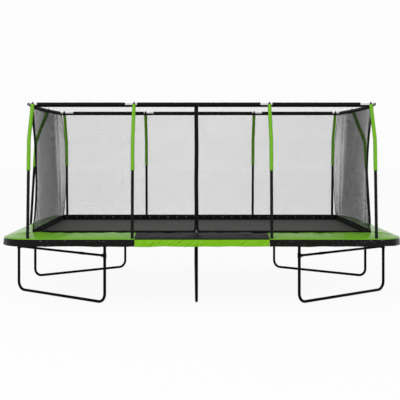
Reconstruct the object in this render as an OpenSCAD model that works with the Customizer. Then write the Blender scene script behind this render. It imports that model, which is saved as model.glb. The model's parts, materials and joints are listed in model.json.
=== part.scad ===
// Rectangular garden trampoline with a safety enclosure.
// Frame: origin on the ground under the middle, +X along the length, +Z up.

/* [Frame] */
// Overall length of the steel frame, outside its rails
frame_length = 5182; // [4400:2:6200]
// Overall width of the steel frame, outside its rails
frame_width = 3048; // [2600:2:3800]
// Outside diameter of the frame rails
rail_d = 50; // [44:1:54]
// Wall of the frame rails
rail_wall = 2; // [1.5:0.1:3]
// Height of the rails' centre line above the ground
rail_z = 808; // [740:1:900]
// Centre-line radius of the frame's four corners
corner_r = 320; // [300:5:340]
// How far an elbow's spigot goes into a rail
spigot_len = 80; // [50:5:90]

/* [Legs] */
// Outside diameter of the leg tubes
leg_d = 38; // [34:1:42]
// Wall of the leg tubes
leg_wall = 1.5; // [1.2:0.1:2.5]
// Centre-line radius of the bends in the legs
leg_bend_r = 110; // [80:5:140]
// Where a corner leg's outer upright meets the short rail, from the middle
leg_side_y = 556; // [450:1:700]
// Where a corner leg's inner upright meets the long rail, from the middle
leg_front_x = 1250; // [1150:1:1400]
// Where the centre leg stands, from the middle
centre_leg_x = -70; // [-200:1:-60]
// Height of the crossbars' centre line
crossbar_z = 620; // [560:1:630]
// Outside diameter of the crossbars
crossbar_d = 32; // [28:1:34]
// Wall of the crossbars
crossbar_wall = 1.5; // [1.2:0.1:2.5]
// Distance from the inner upright to the joint in a crossbar
crossbar_joint = 400; // [300:5:600]
// Length of the sleeve over the joint in a crossbar
sleeve_len = 90; // [60:5:140]
// Width of the saddle that carries a leg under a rail
saddle_w = 90; // [70:1:120]
// Wall of the saddles, collars and brackets
bracket_wall = 4; // [3:0.5:5]
// How far a saddle's spigot goes down into its leg
leg_spigot_len = 90; // [70:5:120]
// Height of the collar that holds a crossbar to an upright
collar_h = 60; // [50:1:80]

/* [Enclosure poles] */
// Outside diameter of the pole tubes
pole_d = 28; // [25:1:30]
// Wall of the pole tubes
pole_wall = 1.5; // [1.2:0.1:2]
// Distance from the middle to the inner poles of the long sides
pole_inner_x = 893; // [885:1:1000]
// Distance from the middle to the corner poles of the long sides
pole_corner_x = 2231; // [2100:1:2232]
// Distance from the middle to the pole of a short side
pole_side_y = 450; // [300:1:480]
// How far a pole's centre stands outside the rail's centre line
pole_stand_off = 48; // [47:0.5:50]
// Height of the foot of the poles
pole_foot_z = 764; // [758:1:766]
// Lean of the lower part of the poles, in degrees
pole_lean = 3.5; // [2:0.1:5]
// Height of the knee, where the poles bend inwards
knee_z = 2110; // [2000:5:2200]
// Centre-line radius of the bend in the poles
knee_r = 260; // [150:10:400]
// Height of the joint between the lower and the upper tube of a pole
pole_joint_z = 1322; // [1100:2:1450]
// Height at which the green sleeve meets the black one
sleeve_change_z = 1715; // [1600:5:1850]
// Outside diameter of the black foam sleeves
black_sleeve_d = 40; // [36:1:44]
// Outside diameter of the green foam sleeves
green_sleeve_d = 50; // [44:1:52]
// Height of a cap's point above the middle of the top ring
cap_point = 36; // [28:1:45]

/* [Top ring] */
// Height of the top ring's centre line
ring_z = 2585; // [2500:5:2700]
// Distance from the middle to the long sides of the top ring
ring_y = 1240; // [1234:1:1260]
// Distance from the middle to the short sides of the top ring, where they bow out most
ring_x = 2355; // [2345:1:2380]
// Radius of the bow in the short sides of the top ring
ring_bow_r = 11840; // [9000:10:16000]
// Centre-line radius of the top ring's corners
ring_corner_r = 44; // [36:2:44]
// Diameter of the ring's rods
rod_d = 12; // [10:0.5:14]
// Outside diameter of the ring's foam sleeves
ring_sleeve_d = 40; // [34:1:44]
// Half the bare stretch of rod beside each pole
sleeve_gap = 80; // [80:2:110]
// How far the front sleeves have slid to the left
front_slide = 40; // [0:2:50]
// How far the rear sleeves have slid to the right
rear_slide = 50; // [0:2:50]

/* [Springs and mat] */
// Distance between neighbouring springs
spring_pitch = 150; // [130:5:200]
// Length of a spring between the two wires that it hooks over
spring_len = 167; // [150:1:180]
// Outside diameter of a spring
spring_d = 26; // [22:1:30]
// Wire of the springs
spring_wire = 3.4; // [3:0.1:4]
// Wire of the staples on the rails
staple_wire = 6; // [5:0.5:7]
// How far the staples' bars stand inside the rails' centre line
staple_reach = 37; // [36:0.5:42]
// Wire of the V-rings
ring_wire = 5; // [4:0.5:6]
// Length of a V-ring between its two bars
v_ring_len = 33; // [28:1:40]
// Thickness of the jumping mat
mat_t = 3; // [2:0.5:4]
// Corner radius of the mat
mat_corner_r = 60; // [30:5:90]
// Width of the webbing round the mat's edge
webbing_w = 50; // [40:1:60]
// Thickness of the webbing
webbing_t = 2; // [1.5:0.5:2.5]

/* [Pads and skirts] */
// Width of the edge pad
pad_w = 350; // [345:1:360]
// Height of the pad's crown above its outer seam
pad_crown = 48; // [40:1:60]
// Thickness of the pad at its outer seam
pad_seam_t = 6; // [5:0.5:8]
// Radius of the pad's rounded inner edge
pad_roll_r = 21; // [15:1:22]
// Outside corner radius of the pad
pad_corner_r = 355; // [352:1:380]
// How far the pad stands outside the long rails' centre line
pad_over_y = 73; // [73:0.5:80]
// How far the pad stands outside the short rails' centre line
pad_over_x = 34; // [33:0.5:36]
// Half the length of the black pad in the middle of each long side
pad_middle = 862; // [840:1:864]
// Height of the skirt
skirt_h = 92; // [80:1:110]
// Thickness of the skirt
skirt_t = 3; // [2:0.5:3]

/* [Net and door] */
// Thickness of the net's threads and hems
net_t = 3; // [2:0.5:4]
// Width of a thread of the net
thread_w = 5; // [4:0.5:8]
// Distance between the net's upright threads, about
net_pitch = 300; // [290:5:400]
// Rows of openings up the net
net_rows = 6; // [4:1:6]
// Height of the hem along the foot of the net
foot_hem_h = 78; // [60:1:90]
// Height of the hem along the top of the net
top_hem_h = 25; // [15:1:40]
// Width of the hems at the ends of a net panel
end_hem_w = 15; // [10:1:25]
// Width of the zip flap
flap_w = 53; // [46:1:70]
// Height at which the zip flap parts in two
flap_split_z = 955; // [930:1:1000]
// Length of the parted end of the zip flap
flap_tail_h = 62; // [50:1:68]
// How far each half of the parted end swings out
flap_tail_out = 16; // [10:1:24]
// Width of the zip slider
slider_w = 16; // [12:1:24]
// Height of the zip slider
slider_h = 34; // [25:1:45]
// Thickness of the zip slider
slider_t = 6; // [4:0.5:9]

/* [Fasteners] */
// Diameter of the bolts that hold the legs and the poles
bolt_d = 6; // [5:0.5:7]
// Width of the bolts' hexagon across its corners
bolt_head_d = 11; // [9:0.5:13]
// Height of the bolts' heads and nuts
bolt_head_h = 4; // [3:0.5:5]

/* [Hidden] */
round_fn = 48;
$fn = round_fn;
// Steps in a full turn for the poles' knees and for the bow of the top ring
arc_fn = 144;
bow_fn = 1440;
// Gap between pieces that slide into or lie on each other
fit = 0.3;
// How far a bend reaches into its straight runs, and how much slimmer it is
bend_lap = 1;
bend_ease = 0.05;
// Gap round a shank in its hole
shank_fit = 0.2;
rail_x = (frame_length - rail_d) / 2;
rail_y = (frame_width - rail_d) / 2;
bend_x = rail_x - corner_r;
bend_y = rail_y - corner_r;
rail_bore = rail_d - 2 * rail_wall;
spigot_d = rail_bore - 2 * fit;
leg_bore = leg_d - 2 * leg_wall;
crossbar_bore = crossbar_d - 2 * crossbar_wall;
pole_bore = pole_d - 2 * pole_wall;
saddle_r = rail_d / 2 + fit + bracket_wall;
leg_top_z = rail_z - saddle_r - fit;
leg_dx = leg_front_x - rail_x;
leg_dy = rail_y - leg_side_y;
leg_span = sqrt(leg_dx * leg_dx + leg_dy * leg_dy);
leg_turn = atan2(leg_dy, leg_dx);
leg_bolt_z = leg_top_z - leg_spigot_len / 2;
collar_r = leg_d / 2 + fit + bracket_wall;
stub_d = crossbar_d + 2 * fit + 2 * bracket_wall;
stub_len = collar_r + 30;
socket_d = pole_d + 2 * fit + 5;
socket_top = rail_z + rail_d / 2 - 6;
pole_spigot_len = 60;
spring_z = rail_z + rail_d / 2 - 4;
coil_margin = 19;
hook_r = max(staple_wire, ring_wire) / 2 + spring_wire / 2 + 1.5;
hook_turn = 300;
wire_fn = 24;
staple_pull = hook_r - spring_wire / 2 - staple_wire / 2 - fit;
ring_pull = sqrt(pow(hook_r - spring_wire / 2 - fit, 2) - pow(ring_wire / 2, 2)) - ring_wire / 2;
staple_low = rail_d / 2 - 4 - staple_wire / 2;
staple_root = sqrt(pow(rail_d / 2, 2) - pow(staple_low, 2)) + 0.1;
staple_r = 13;
v_ring_w = 40;
v_ring_tip = 20;
mat_edge = ring_wire / 2 + fit + 4;
edge_in = staple_reach + spring_len + v_ring_len + mat_edge;
mat_x = rail_x - edge_in;
mat_y = rail_y - edge_in;
mat_top = spring_z + mat_t / 2;
tab_w = 22;
tab_wall = 3;
webbing_top = mat_top + webbing_t;
pad_x = rail_x + pad_over_x;
pad_y = rail_y + pad_over_y;
pad_cx = pad_x - pad_corner_r;
pad_cy = pad_y - pad_corner_r;
pad_low = rail_z + rail_d / 2 + fit;
pad_rise = spring_z + spring_d / 2 + fit - pad_low;
pad_rise_w = 90;
pad_steps = 10;
notch_d = black_sleeve_d + 8;
sleeve_foot_z = pad_low + pad_seam_t + 10;
net_y = pad_y - pad_w - fit - net_t;
net_x = pad_x - pad_w - fit - net_t - 4;
net_foot_z = webbing_top + fit;
net_top_z = ring_z - ring_sleeve_d / 2 - fit;
net_h = net_top_z - net_foot_z;
side_net_top_x = (ring_x + ring_corner_x() + ring_corner_r) / 2 - 4;
side_net_lean = atan((side_net_top_x - net_x) / net_h);
flap_x = centre_leg_x;
bolt_grip = bolt_head_h + fit;

// ---- Places ----

// Puts what is drawn for the right rear quarter into another quarter
module quarter(sx, sy) {
    mirror([sx < 0 ? 1 : 0, 0, 0])
        mirror([0, sy < 0 ? 1 : 0, 0])
            children();
}

module each_quarter() {
    for (sx = [-1, 1], sy = [-1, 1])
        quarter(sx, sy)
            children();
}

// A corner leg's own frame: its outer upright at the origin, its base along +X
module leg_place() {
    translate([rail_x, leg_side_y, 0])
        rotate([0, 0, leg_turn])
            children();
}

// Half angle that the bow of the ring's short side takes up
function ring_angle() = asin((ring_y - ring_corner_r) / (ring_bow_r - ring_corner_r));
// Centre of the ring's corner arc, along X
function ring_corner_x() = ring_x - ring_bow_r + (ring_bow_r - ring_corner_r) * cos(ring_angle());
// Place of the ring's short side at a distance y from the middle
function ring_side_x(y) = ring_x - ring_bow_r + sqrt(ring_bow_r * ring_bow_r - y * y);

// How far a pole's tip comes inwards from its foot
function foot_out() = pole_stand_off + (rail_z - pole_foot_z) * tan(pole_lean);
function long_reach() = rail_y + foot_out() - ring_y;
function side_reach() = rail_x + foot_out() - ring_side_x(pole_side_y);
// Lean of a pole's upper part for a given reach
function upper_lean(reach) =
    atan((reach - (knee_z - pole_foot_z) * tan(pole_lean)) / (ring_z - knee_z));

// A pole's own frame: its foot at the origin on the ground plan, +Y inwards
module long_side_poles() {
    for (sx = [-1, 1], sy = [-1, 1], x = [pole_inner_x, pole_corner_x])
        translate([sx * x, sy * (rail_y + foot_out()), 0])
            rotate([0, 0, sy > 0 ? 180 : 0])
                children();
}

module side_poles() {
    for (sx = [-1, 1])
        translate([sx * (rail_x + foot_out()), pole_side_y, 0])
            rotate([0, 0, sx > 0 ? 90 : -90])
                children();
}

// ---- Tubes ----

module ring_section(d, bore) {
    difference() {
        circle(d = d);
        if (bore > 0)
            circle(d = bore);
    }
}

// Straight tube from the origin along +Z
module pipe(d, bore, len) {
    difference() {
        cylinder(d = d, h = len);
        if (bore > 0)
            translate([0, 0, -1])
                cylinder(d = bore, h = len + 2);
    }
}

// Arc of rod about the Z axis from the X axis on, a hair slimmer than the straight
// runs at its ends and reaching a little way into them
module lapped_arc(r, angle, d, steps) {
    lap = bend_lap / r * 180 / PI;
    rotate([0, 0, -lap])
        rotate_extrude(angle = angle + 2 * lap, $fn = steps)
            translate([r, 0])
                circle(d = d - 2 * bend_ease, $fn = round_fn);
}

// Bent rod from the origin, heading +Z and turning towards +Y
module bend(r, angle, d) {
    translate([0, r, 0])
        rotate([90, 0, -90])
            lapped_arc(r, angle, d, arc_fn);
}

// Moves to the end of such a bend
module after_bend(r, angle) {
    translate([0, r * (1 - cos(angle)), r * sin(angle)])
        rotate([-angle, 0, 0])
            children();
}

module hexagon(d, h) {
    cylinder(d = d, h = h, $fn = 6);
}

// Bolt through a tube of diameter d, across the origin along X, with its nut
module cross_bolt(d) {
    rotate([0, 90, 0])
        union() {
            translate([0, 0, -d / 2 - fit - bolt_head_h])
                hexagon(bolt_head_d, bolt_head_h);
            translate([0, 0, -d / 2 - bolt_grip])
                cylinder(d = bolt_d, h = d + 2 * bolt_grip);
            translate([0, 0, d / 2 + fit])
                hexagon(bolt_head_d, bolt_head_h);
        }
}

module cross_hole(d) {
    rotate([0, 90, 0])
        translate([0, 0, -d])
            cylinder(d = bolt_d + 2 * shank_fit, h = 2 * d);
}

// ---- Frame rails ----

module long_rail(sx, sy) {
    color("#26282a")
        quarter(sx, sy)
            translate([fit / 2, rail_y, rail_z])
                rotate([0, 90, 0])
                    pipe(rail_d, rail_bore, bend_x - fit / 2);
}

module short_rail(sx) {
    color("#26282a")
        translate([sx * rail_x, -bend_y, rail_z])
            rotate([-90, 0, 0])
                pipe(rail_d, rail_bore, 2 * bend_y);
}

// Swaged corner: a quarter bend with a spigot for each rail
module elbow(sx, sy) {
    bore = spigot_d - 2 * rail_wall;
    color("#26282a")
        quarter(sx, sy)
            translate([bend_x, bend_y, rail_z])
                difference() {
                    union() {
                        rotate_extrude(angle = 90)
                            translate([corner_r, 0])
                                circle(d = rail_d);
                        translate([0, corner_r, 0])
                            rotate([0, -90, 0])
                                cylinder(d = spigot_d, h = spigot_len);
                        translate([corner_r, 0, 0])
                            rotate([90, 0, 0])
                                cylinder(d = spigot_d, h = spigot_len);
                    }
                    union() {
                        rotate_extrude(angle = 90)
                            translate([corner_r, 0])
                                circle(d = bore);
                        translate([0, corner_r, 0])
                            rotate([0, -90, 0])
                                cylinder(d = bore, h = spigot_len + 1);
                        translate([corner_r, 0, 0])
                            rotate([90, 0, 0])
                                cylinder(d = bore, h = spigot_len + 1);
                    }
                }
}

// Tubes inside the long rails that join their two halves
module rail_joiners() {
    color("#3a3c3e")
        for (sy = [-1, 1])
            translate([-spigot_len, sy * rail_y, rail_z])
                rotate([0, 90, 0])
                    pipe(spigot_d, spigot_d - 2 * rail_wall, 2 * spigot_len);
}

// ---- Legs ----

// Half shell under a rail that runs along X, with a spigot pointing down
module saddle() {
    difference() {
        union() {
            intersection() {
                translate([-saddle_w / 2, 0, 0])
                    rotate([0, 90, 0])
                        cylinder(r = saddle_r, h = saddle_w);
                translate([-saddle_w / 2, -saddle_r, -saddle_r])
                    cube([saddle_w, 2 * saddle_r, saddle_r + bracket_wall]);
            }
            translate([0, 0, -saddle_r - leg_spigot_len])
                cylinder(d = leg_bore - 2 * fit, h = leg_spigot_len + bracket_wall);
        }
        translate([-saddle_w, 0, 0])
            rotate([0, 90, 0])
                cylinder(r = rail_d / 2 + fit, h = 2 * saddle_w);
        translate([0, 0, leg_bolt_z - rail_z])
            cross_hole(leg_d);
    }
}

module leg_saddles() {
    color("#303234") {
        each_quarter()
            translate([leg_front_x, rail_y, rail_z])
                saddle();
        each_quarter()
            translate([rail_x, leg_side_y, rail_z])
                rotate([0, 0, 90])
                    saddle();
        for (sy = [-1, 1])
            translate([centre_leg_x, sy * rail_y, rail_z])
                saddle();
    }
}

// U shape in the XZ plane, from one upright at the origin to the other at x = span
module u_sweep(span, d, top_z) {
    union() {
        translate([leg_bend_r, 0, leg_d / 2])
            rotate([0, 90, 0])
                cylinder(d = d, h = span - 2 * leg_bend_r);
        for (end = [0, 1])
            translate([end * span, 0, 0])
                mirror([end, 0, 0])
                    translate([0, 0, leg_d / 2 + leg_bend_r]) {
                        cylinder(d = d, h = top_z - leg_d / 2 - leg_bend_r);
                        translate([leg_bend_r, 0, 0])
                            rotate([90, 0, 0])
                                rotate([0, 0, 180])
                                    lapped_arc(leg_bend_r, 90, d, round_fn);
                    }
    }
}

module corner_leg(sx, sy) {
    color("#232527")
        quarter(sx, sy)
            difference() {
                leg_place()
                    u_sweep(leg_span, leg_d, leg_top_z);
                leg_place()
                    u_sweep(leg_span, leg_bore, leg_top_z + 1);
                translate([rail_x, leg_side_y, leg_bolt_z])
                    rotate([0, 0, 90])
                        cross_hole(leg_d);
                translate([leg_front_x, rail_y, leg_bolt_z])
                    cross_hole(leg_d);
            }
}

module centre_leg() {
    color("#232527")
        difference() {
            translate([centre_leg_x, -rail_y, 0])
                rotate([0, 0, 90])
                    u_sweep(2 * rail_y, leg_d, leg_top_z);
            translate([centre_leg_x, -rail_y, 0])
                rotate([0, 0, 90])
                    u_sweep(2 * rail_y, leg_bore, leg_top_z + 1);
            for (sy = [-1, 1])
                translate([centre_leg_x, sy * rail_y, leg_bolt_z])
                    cross_hole(leg_d);
        }
}

// Crossbar in two lengths, from collar to collar
module crossbar(sx, sy) {
    seat = collar_r + fit;
    joint = leg_span - crossbar_joint;
    color("#232527")
        quarter(sx, sy)
            leg_place()
                translate([0, 0, crossbar_z])
                    rotate([0, 90, 0]) {
                        translate([0, 0, seat])
                            pipe(crossbar_d, crossbar_bore, joint - seat);
                        translate([0, 0, joint + fit])
                            pipe(crossbar_d, crossbar_bore, leg_span - seat - joint - fit);
                    }
}

module crossbar_sleeves() {
    color("#303234")
        each_quarter()
            leg_place()
                translate([leg_span - crossbar_joint - sleeve_len / 2, 0, crossbar_z])
                    rotate([0, 90, 0])
                        pipe(crossbar_d + 2 * fit + bracket_wall, crossbar_d + 2 * fit, sleeve_len);
}

// Collar round an upright at the origin, with a stub that holds a crossbar along +X
module collar() {
    difference() {
        union() {
            translate([0, 0, -collar_h / 2])
                cylinder(r = collar_r, h = collar_h);
            rotate([0, 90, 0])
                cylinder(d = stub_d, h = stub_len);
        }
        translate([0, 0, -collar_h])
            cylinder(d = leg_d + 2 * fit, h = 2 * collar_h);
        translate([collar_r, 0, 0])
            rotate([0, 90, 0])
                cylinder(d = crossbar_d + 2 * fit, h = stub_len);
    }
}

module crossbar_collars() {
    color("#303234")
        each_quarter()
            leg_place()
                for (end = [0, 1])
                    translate([end * leg_span, 0, crossbar_z])
                        mirror([end, 0, 0])
                            collar();
}

module leg_bolts() {
    color("#a8abae") {
        each_quarter()
            translate([leg_front_x, rail_y, leg_bolt_z])
                cross_bolt(leg_d);
        each_quarter()
            translate([rail_x, leg_side_y, leg_bolt_z])
                rotate([0, 0, 90])
                    cross_bolt(leg_d);
        for (sy = [-1, 1])
            translate([centre_leg_x, sy * rail_y, leg_bolt_z])
                cross_bolt(leg_d);
    }
}

// ---- Enclosure poles ----

// Half shell on the rail's outer side with a closed socket for the pole
module bracket() {
    shell_w = 40;
    web_w = 12;
    floor_t = 5;
    bolt_up = 14;
    difference() {
        union() {
            intersection() {
                translate([-shell_w / 2, foot_out(), rail_z])
                    rotate([0, 90, 0])
                        cylinder(r = saddle_r, h = shell_w);
                translate([-shell_w / 2, foot_out() - saddle_r, rail_z - saddle_r])
                    cube([shell_w, saddle_r + 2, 2 * saddle_r - 10]);
            }
            translate([-web_w / 2, 0, rail_z - rail_d / 4])
                cube([web_w, foot_out() - rail_d / 2, rail_d / 2]);
            translate([0, 0, pole_foot_z])
                rotate([-pole_lean, 0, 0])
                    translate([0, 0, -floor_t])
                        cylinder(d = socket_d, h = socket_top - pole_foot_z + floor_t);
        }
        translate([-shell_w, foot_out(), rail_z])
            rotate([0, 90, 0])
                cylinder(r = rail_d / 2 + fit, h = 2 * shell_w);
        translate([0, 0, pole_foot_z])
            rotate([-pole_lean, 0, 0]) {
                cylinder(d = pole_d + 2 * fit, h = socket_top);
                translate([0, 0, bolt_up])
                    cross_hole(socket_d);
            }
    }
}

module pole_brackets() {
    color("#303234") {
        long_side_poles()
            bracket();
        side_poles()
            bracket();
    }
}

module lower_pole() {
    bolt_up = 14;
    len = (pole_joint_z - pole_foot_z) / cos(pole_lean);
    translate([0, 0, pole_foot_z])
        rotate([-pole_lean, 0, 0])
            difference() {
                translate([0, 0, fit])
                    pipe(pole_d, pole_bore, len - fit);
                translate([0, 0, bolt_up])
                    cross_hole(pole_d);
            }
}

module lower_poles() {
    color("#2a2c2e") {
        long_side_poles()
            lower_pole();
        side_poles()
            lower_pole();
    }
}

// Solid run that follows a pole from a height to just below the cap
module upper_run(reach, from_z, d, top_gap) {
    turn = upper_lean(reach) - pole_lean;
    cut = knee_r * tan(turn / 2);
    low = (from_z - pole_foot_z) / cos(pole_lean);
    knee = (knee_z - pole_foot_z) / cos(pole_lean);
    rise = (ring_z - knee_z) / cos(upper_lean(reach));
    translate([0, 0, pole_foot_z])
        rotate([-pole_lean, 0, 0])
            union() {
                translate([0, 0, low])
                    cylinder(d = d, h = knee - cut - low);
                translate([0, 0, knee - cut])
                    bend(knee_r, turn, d);
                translate([0, 0, knee - cut])
                    after_bend(knee_r, turn)
                        cylinder(d = d, h = rise - cut - top_gap);
            }
}

// Tube or sleeve that follows a pole
module upper_tube(reach, from_z, d, bore, top_gap) {
    difference() {
        upper_run(reach, from_z, d, top_gap);
        upper_run(reach, from_z - 1, bore, top_gap - 1);
    }
}

// Upper tube with a reduced spigot that goes down into the lower one
module upper_pole(reach) {
    spigot = pole_bore - 2 * fit;
    low = (pole_joint_z + fit - pole_foot_z) / cos(pole_lean);
    step = 4;
    difference() {
        union() {
            upper_run(reach, pole_joint_z + fit, pole_d, rod_d);
            translate([0, 0, pole_foot_z])
                rotate([-pole_lean, 0, 0])
                    translate([0, 0, low - pole_spigot_len])
                        cylinder(d = spigot, h = pole_spigot_len + step / 2);
        }
        upper_run(reach, pole_joint_z + step, pole_bore, rod_d - 1);
        translate([0, 0, pole_foot_z])
            rotate([-pole_lean, 0, 0])
                translate([0, 0, low - pole_spigot_len - 1])
                    cylinder(d = spigot - 2 * pole_wall, h = pole_spigot_len + 2 * step);
    }
}

module upper_poles() {
    color("#2a2c2e") {
        long_side_poles()
            upper_pole(long_reach());
        side_poles()
            upper_pole(side_reach());
    }
}

module black_pole_sleeve() {
    low = (sleeve_foot_z - pole_foot_z) / cos(pole_lean);
    top = (sleeve_change_z - pole_foot_z) / cos(pole_lean);
    translate([0, 0, pole_foot_z])
        rotate([-pole_lean, 0, 0])
            translate([0, 0, low])
                pipe(black_sleeve_d, pole_d + 2 * fit, top - low);
}

module black_pole_sleeves() {
    color("#1d1d1e") {
        long_side_poles()
            black_pole_sleeve();
        side_poles()
            black_pole_sleeve();
    }
}

module green_pole_sleeves() {
    color("#6db52c") {
        long_side_poles()
            upper_tube(long_reach(), sleeve_change_z + fit, green_sleeve_d, pole_d + 2 * fit, rod_d + fit);
        side_poles()
            upper_tube(side_reach(), sleeve_change_z + fit, green_sleeve_d, pole_d + 2 * fit, rod_d + fit);
    }
}

// Cap with a plug in the tube, a cross hole for the ring and a point on top
module pole_cap(reach, skew) {
    lean = upper_lean(reach);
    head_d = pole_d + 4;
    head_top = rod_d / 2 + 2;
    plug_len = 30;
    tip_r = 3;
    translate([0, reach, ring_z])
        rotate([-lean, 0, 0])
            difference() {
                union() {
                    translate([0, 0, -rod_d - plug_len])
                        cylinder(d = pole_bore - 2 * fit, h = plug_len);
                    translate([0, 0, -rod_d + fit])
                        cylinder(d = head_d, h = rod_d - fit + head_top);
                    translate([0, 0, -rod_d])
                        cylinder(d = pole_bore - 2 * fit, h = rod_d);
                    translate([0, 0, head_top])
                        cylinder(d1 = head_d, d2 = 2 * tip_r, h = cap_point - head_top - tip_r);
                    translate([0, 0, cap_point - tip_r])
                        sphere(r = tip_r);
                }
                rotate([0, 90, 0])
                    translate([0, 0, -head_d])
                        cylinder(d = rod_d + 2 * (fit + skew * head_d / 2), h = 2 * head_d);
            }
}

module pole_caps() {
    color("#161617") {
        long_side_poles()
            pole_cap(long_reach(), 0);
        side_poles()
            pole_cap(side_reach(), pole_side_y / ring_bow_r);
    }
}

module pole_bolts() {
    bolt_up = 14;
    color("#a8abae") {
        long_side_poles()
            translate([0, 0, pole_foot_z])
                rotate([-pole_lean, 0, 0])
                    translate([0, 0, bolt_up])
                        cross_bolt(socket_d);
        side_poles()
            translate([0, 0, pole_foot_z])
                rotate([-pole_lean, 0, 0])
                    translate([0, 0, bolt_up])
                        cross_bolt(socket_d);
    }
}

// ---- Top ring ----

// Arc of the ring's right-hand side between two angles from the X axis
module side_arc(from, to, d) {
    translate([ring_x - ring_bow_r, 0, ring_z])
        rotate([0, 0, from])
            rotate_extrude(angle = to - from, $fn = bow_fn)
                translate([ring_bow_r, 0])
                    circle(d = d, $fn = round_fn);
}

module side_sleeve(from, to) {
    difference() {
        side_arc(from, to, ring_sleeve_d);
        side_arc(from - 0.1, to + 0.1, rod_d + 2 * fit);
    }
}

// Ten rods laid end to end: two long sides, two for each bowed short side and four corners
module ring_rods() {
    a = ring_angle();
    straight = ring_corner_x() - fit;
    corner_gap = fit / ring_corner_r * 180 / PI;
    side_gap = fit / ring_bow_r * 90 / PI;
    color("#b9bcbd") {
        for (sy = [-1, 1])
            translate([-straight, sy * ring_y, ring_z])
                rotate([0, 90, 0])
                    cylinder(d = rod_d, h = 2 * straight);
        each_quarter()
            side_arc(side_gap, a, rod_d);
        each_quarter()
            translate([ring_corner_x(), ring_y - ring_corner_r, ring_z])
                rotate([0, 0, a + corner_gap])
                    rotate_extrude(angle = 90 - a - corner_gap)
                        translate([ring_corner_r, 0])
                            circle(d = rod_d);
    }
}

module straight_sleeve(from_x, to_x, y) {
    translate([from_x, y, ring_z])
        rotate([0, 90, 0])
            pipe(ring_sleeve_d, rod_d + 2 * fit, to_x - from_x);
}

module ring_sleeves() {
    a = ring_angle();
    pole_a = asin(pole_side_y / ring_bow_r);
    gap_a = asin((green_sleeve_d / 2 + 5) / ring_bow_r);
    end_a = a - asin(ring_corner_r / ring_bow_r);
    color("#1d1d1e") {
        for (sy = [-1, 1]) {
            slide = sy < 0 ? -front_slide : rear_slide;
            y = sy * ring_y;
            straight_sleeve(-pole_corner_x + slide + 1.25 * sleeve_gap, -pole_inner_x + slide - sleeve_gap, y);
            straight_sleeve(-pole_inner_x + slide + sleeve_gap, pole_inner_x + slide - sleeve_gap, y);
            straight_sleeve(pole_inner_x + slide + sleeve_gap, pole_corner_x + slide - 1.25 * sleeve_gap, y);
        }
        for (sx = [-1, 1])
            quarter(sx, 1) {
                side_sleeve(-end_a, pole_a - gap_a);
                side_sleeve(pole_a + gap_a, end_a);
            }
    }
}

// ---- Springs ----

// How many springs fit along a rail of half length h, and where the first one is
function spring_count(h) = floor((2 * h - 2 * v_ring_w) / spring_pitch) + 1;
function first_spring(h) = -(spring_count(h) - 1) * spring_pitch / 2;

// Places along a side: the side's rail runs along X at y = at
module spring_places(half, at, turn) {
    rotate([0, 0, turn])
        for (i = [0 : spring_count(half) - 1])
            translate([first_spring(half) + i * spring_pitch, at, spring_z])
                children();
}

// Half-ring staple welded to the inner side of a rail at y = 0
module staple() {
    translate([0, -staple_reach + staple_r, 0]) {
        rotate([0, 0, 180])
            rotate_extrude(angle = 180)
                translate([staple_r, 0])
                    circle(d = staple_wire, $fn = wire_fn);
        for (side = [-1, 1])
            translate([side * staple_r, 0, 0])
                rotate([-90, 0, 0])
                    cylinder(d = staple_wire, h = staple_reach - staple_r - staple_root, $fn = wire_fn);
    }
}

module spring_staples() {
    color("#85888a") {
        spring_places(bend_x, rail_y, 0) staple();
        spring_places(bend_x, rail_y, 180) staple();
        spring_places(bend_y, rail_x, 90) staple();
        spring_places(bend_y, rail_x, -90) staple();
    }
}

// Hook that goes round a wire at the origin and is pulled towards +Y
module hook(pull) {
    translate([0, pull, 0])
        rotate([90, 0, 90])
            rotate_extrude(angle = hook_turn)
                translate([hook_r, 0])
                    circle(d = spring_wire, $fn = wire_fn);
    translate([0, pull + hook_r - spring_wire / 4, 0])
        rotate([-90, 0, 0])
            cylinder(d = spring_wire, h = coil_margin - pull - hook_r + spring_wire, $fn = wire_fn);
}

// Extension spring: its outer hook over the staple, its inner hook over the V-ring
module spring() {
    outer = -staple_reach;
    inner = outer - spring_len;
    union() {
        translate([0, inner + coil_margin, 0])
            rotate([-90, 0, 0])
                cylinder(d = spring_d, h = spring_len - 2 * coil_margin);
        translate([0, inner, 0])
            hook(ring_pull);
        translate([0, outer, 0])
            rotate([0, 0, 180])
                hook(staple_pull);
    }
}

module spring_row(half, at, turn) {
    color("#c3c6c8")
        spring_places(half, at, turn)
            spring();
}

// Ring whose wide bar sits in the webbing and whose narrow bar takes the hook
module v_ring() {
    half = ring_wire / 2;
    translate([0, -staple_reach - spring_len, -half])
        linear_extrude(ring_wire)
            difference() {
                polygon([
                    [-v_ring_tip / 2, half], [v_ring_tip / 2, half],
                    [v_ring_w / 2, -v_ring_len - half], [-v_ring_w / 2, -v_ring_len - half]
                ]);
                polygon([
                    [-v_ring_tip / 2 + ring_wire, -half], [v_ring_tip / 2 - ring_wire, -half],
                    [v_ring_w / 2 - ring_wire - 1, -v_ring_len + half],
                    [-v_ring_w / 2 + ring_wire + 1, -v_ring_len + half]
                ]);
            }
}

module v_rings() {
    color("#a8abae") {
        spring_places(bend_x, rail_y, 0) v_ring();
        spring_places(bend_x, rail_y, 180) v_ring();
        spring_places(bend_y, rail_x, 90) v_ring();
        spring_places(bend_y, rail_x, -90) v_ring();
    }
}

// ---- Mat ----

// Plan of the mat, drawn in by a margin
module mat_plan(margin) {
    x = mat_x - margin;
    y = mat_y - margin;
    union() {
        square([2 * x, 2 * (y - mat_corner_r)], center = true);
        square([2 * (x - mat_corner_r), 2 * y], center = true);
        for (sx = [-1, 1], sy = [-1, 1])
            translate([sx * (x - mat_corner_r), sy * (y - mat_corner_r)])
                circle(r = mat_corner_r);
    }
}

module mat() {
    color("#3c3d40")
        translate([0, 0, spring_z - mat_t / 2])
            linear_extrude(mat_t)
                mat_plan(0);
}

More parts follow.
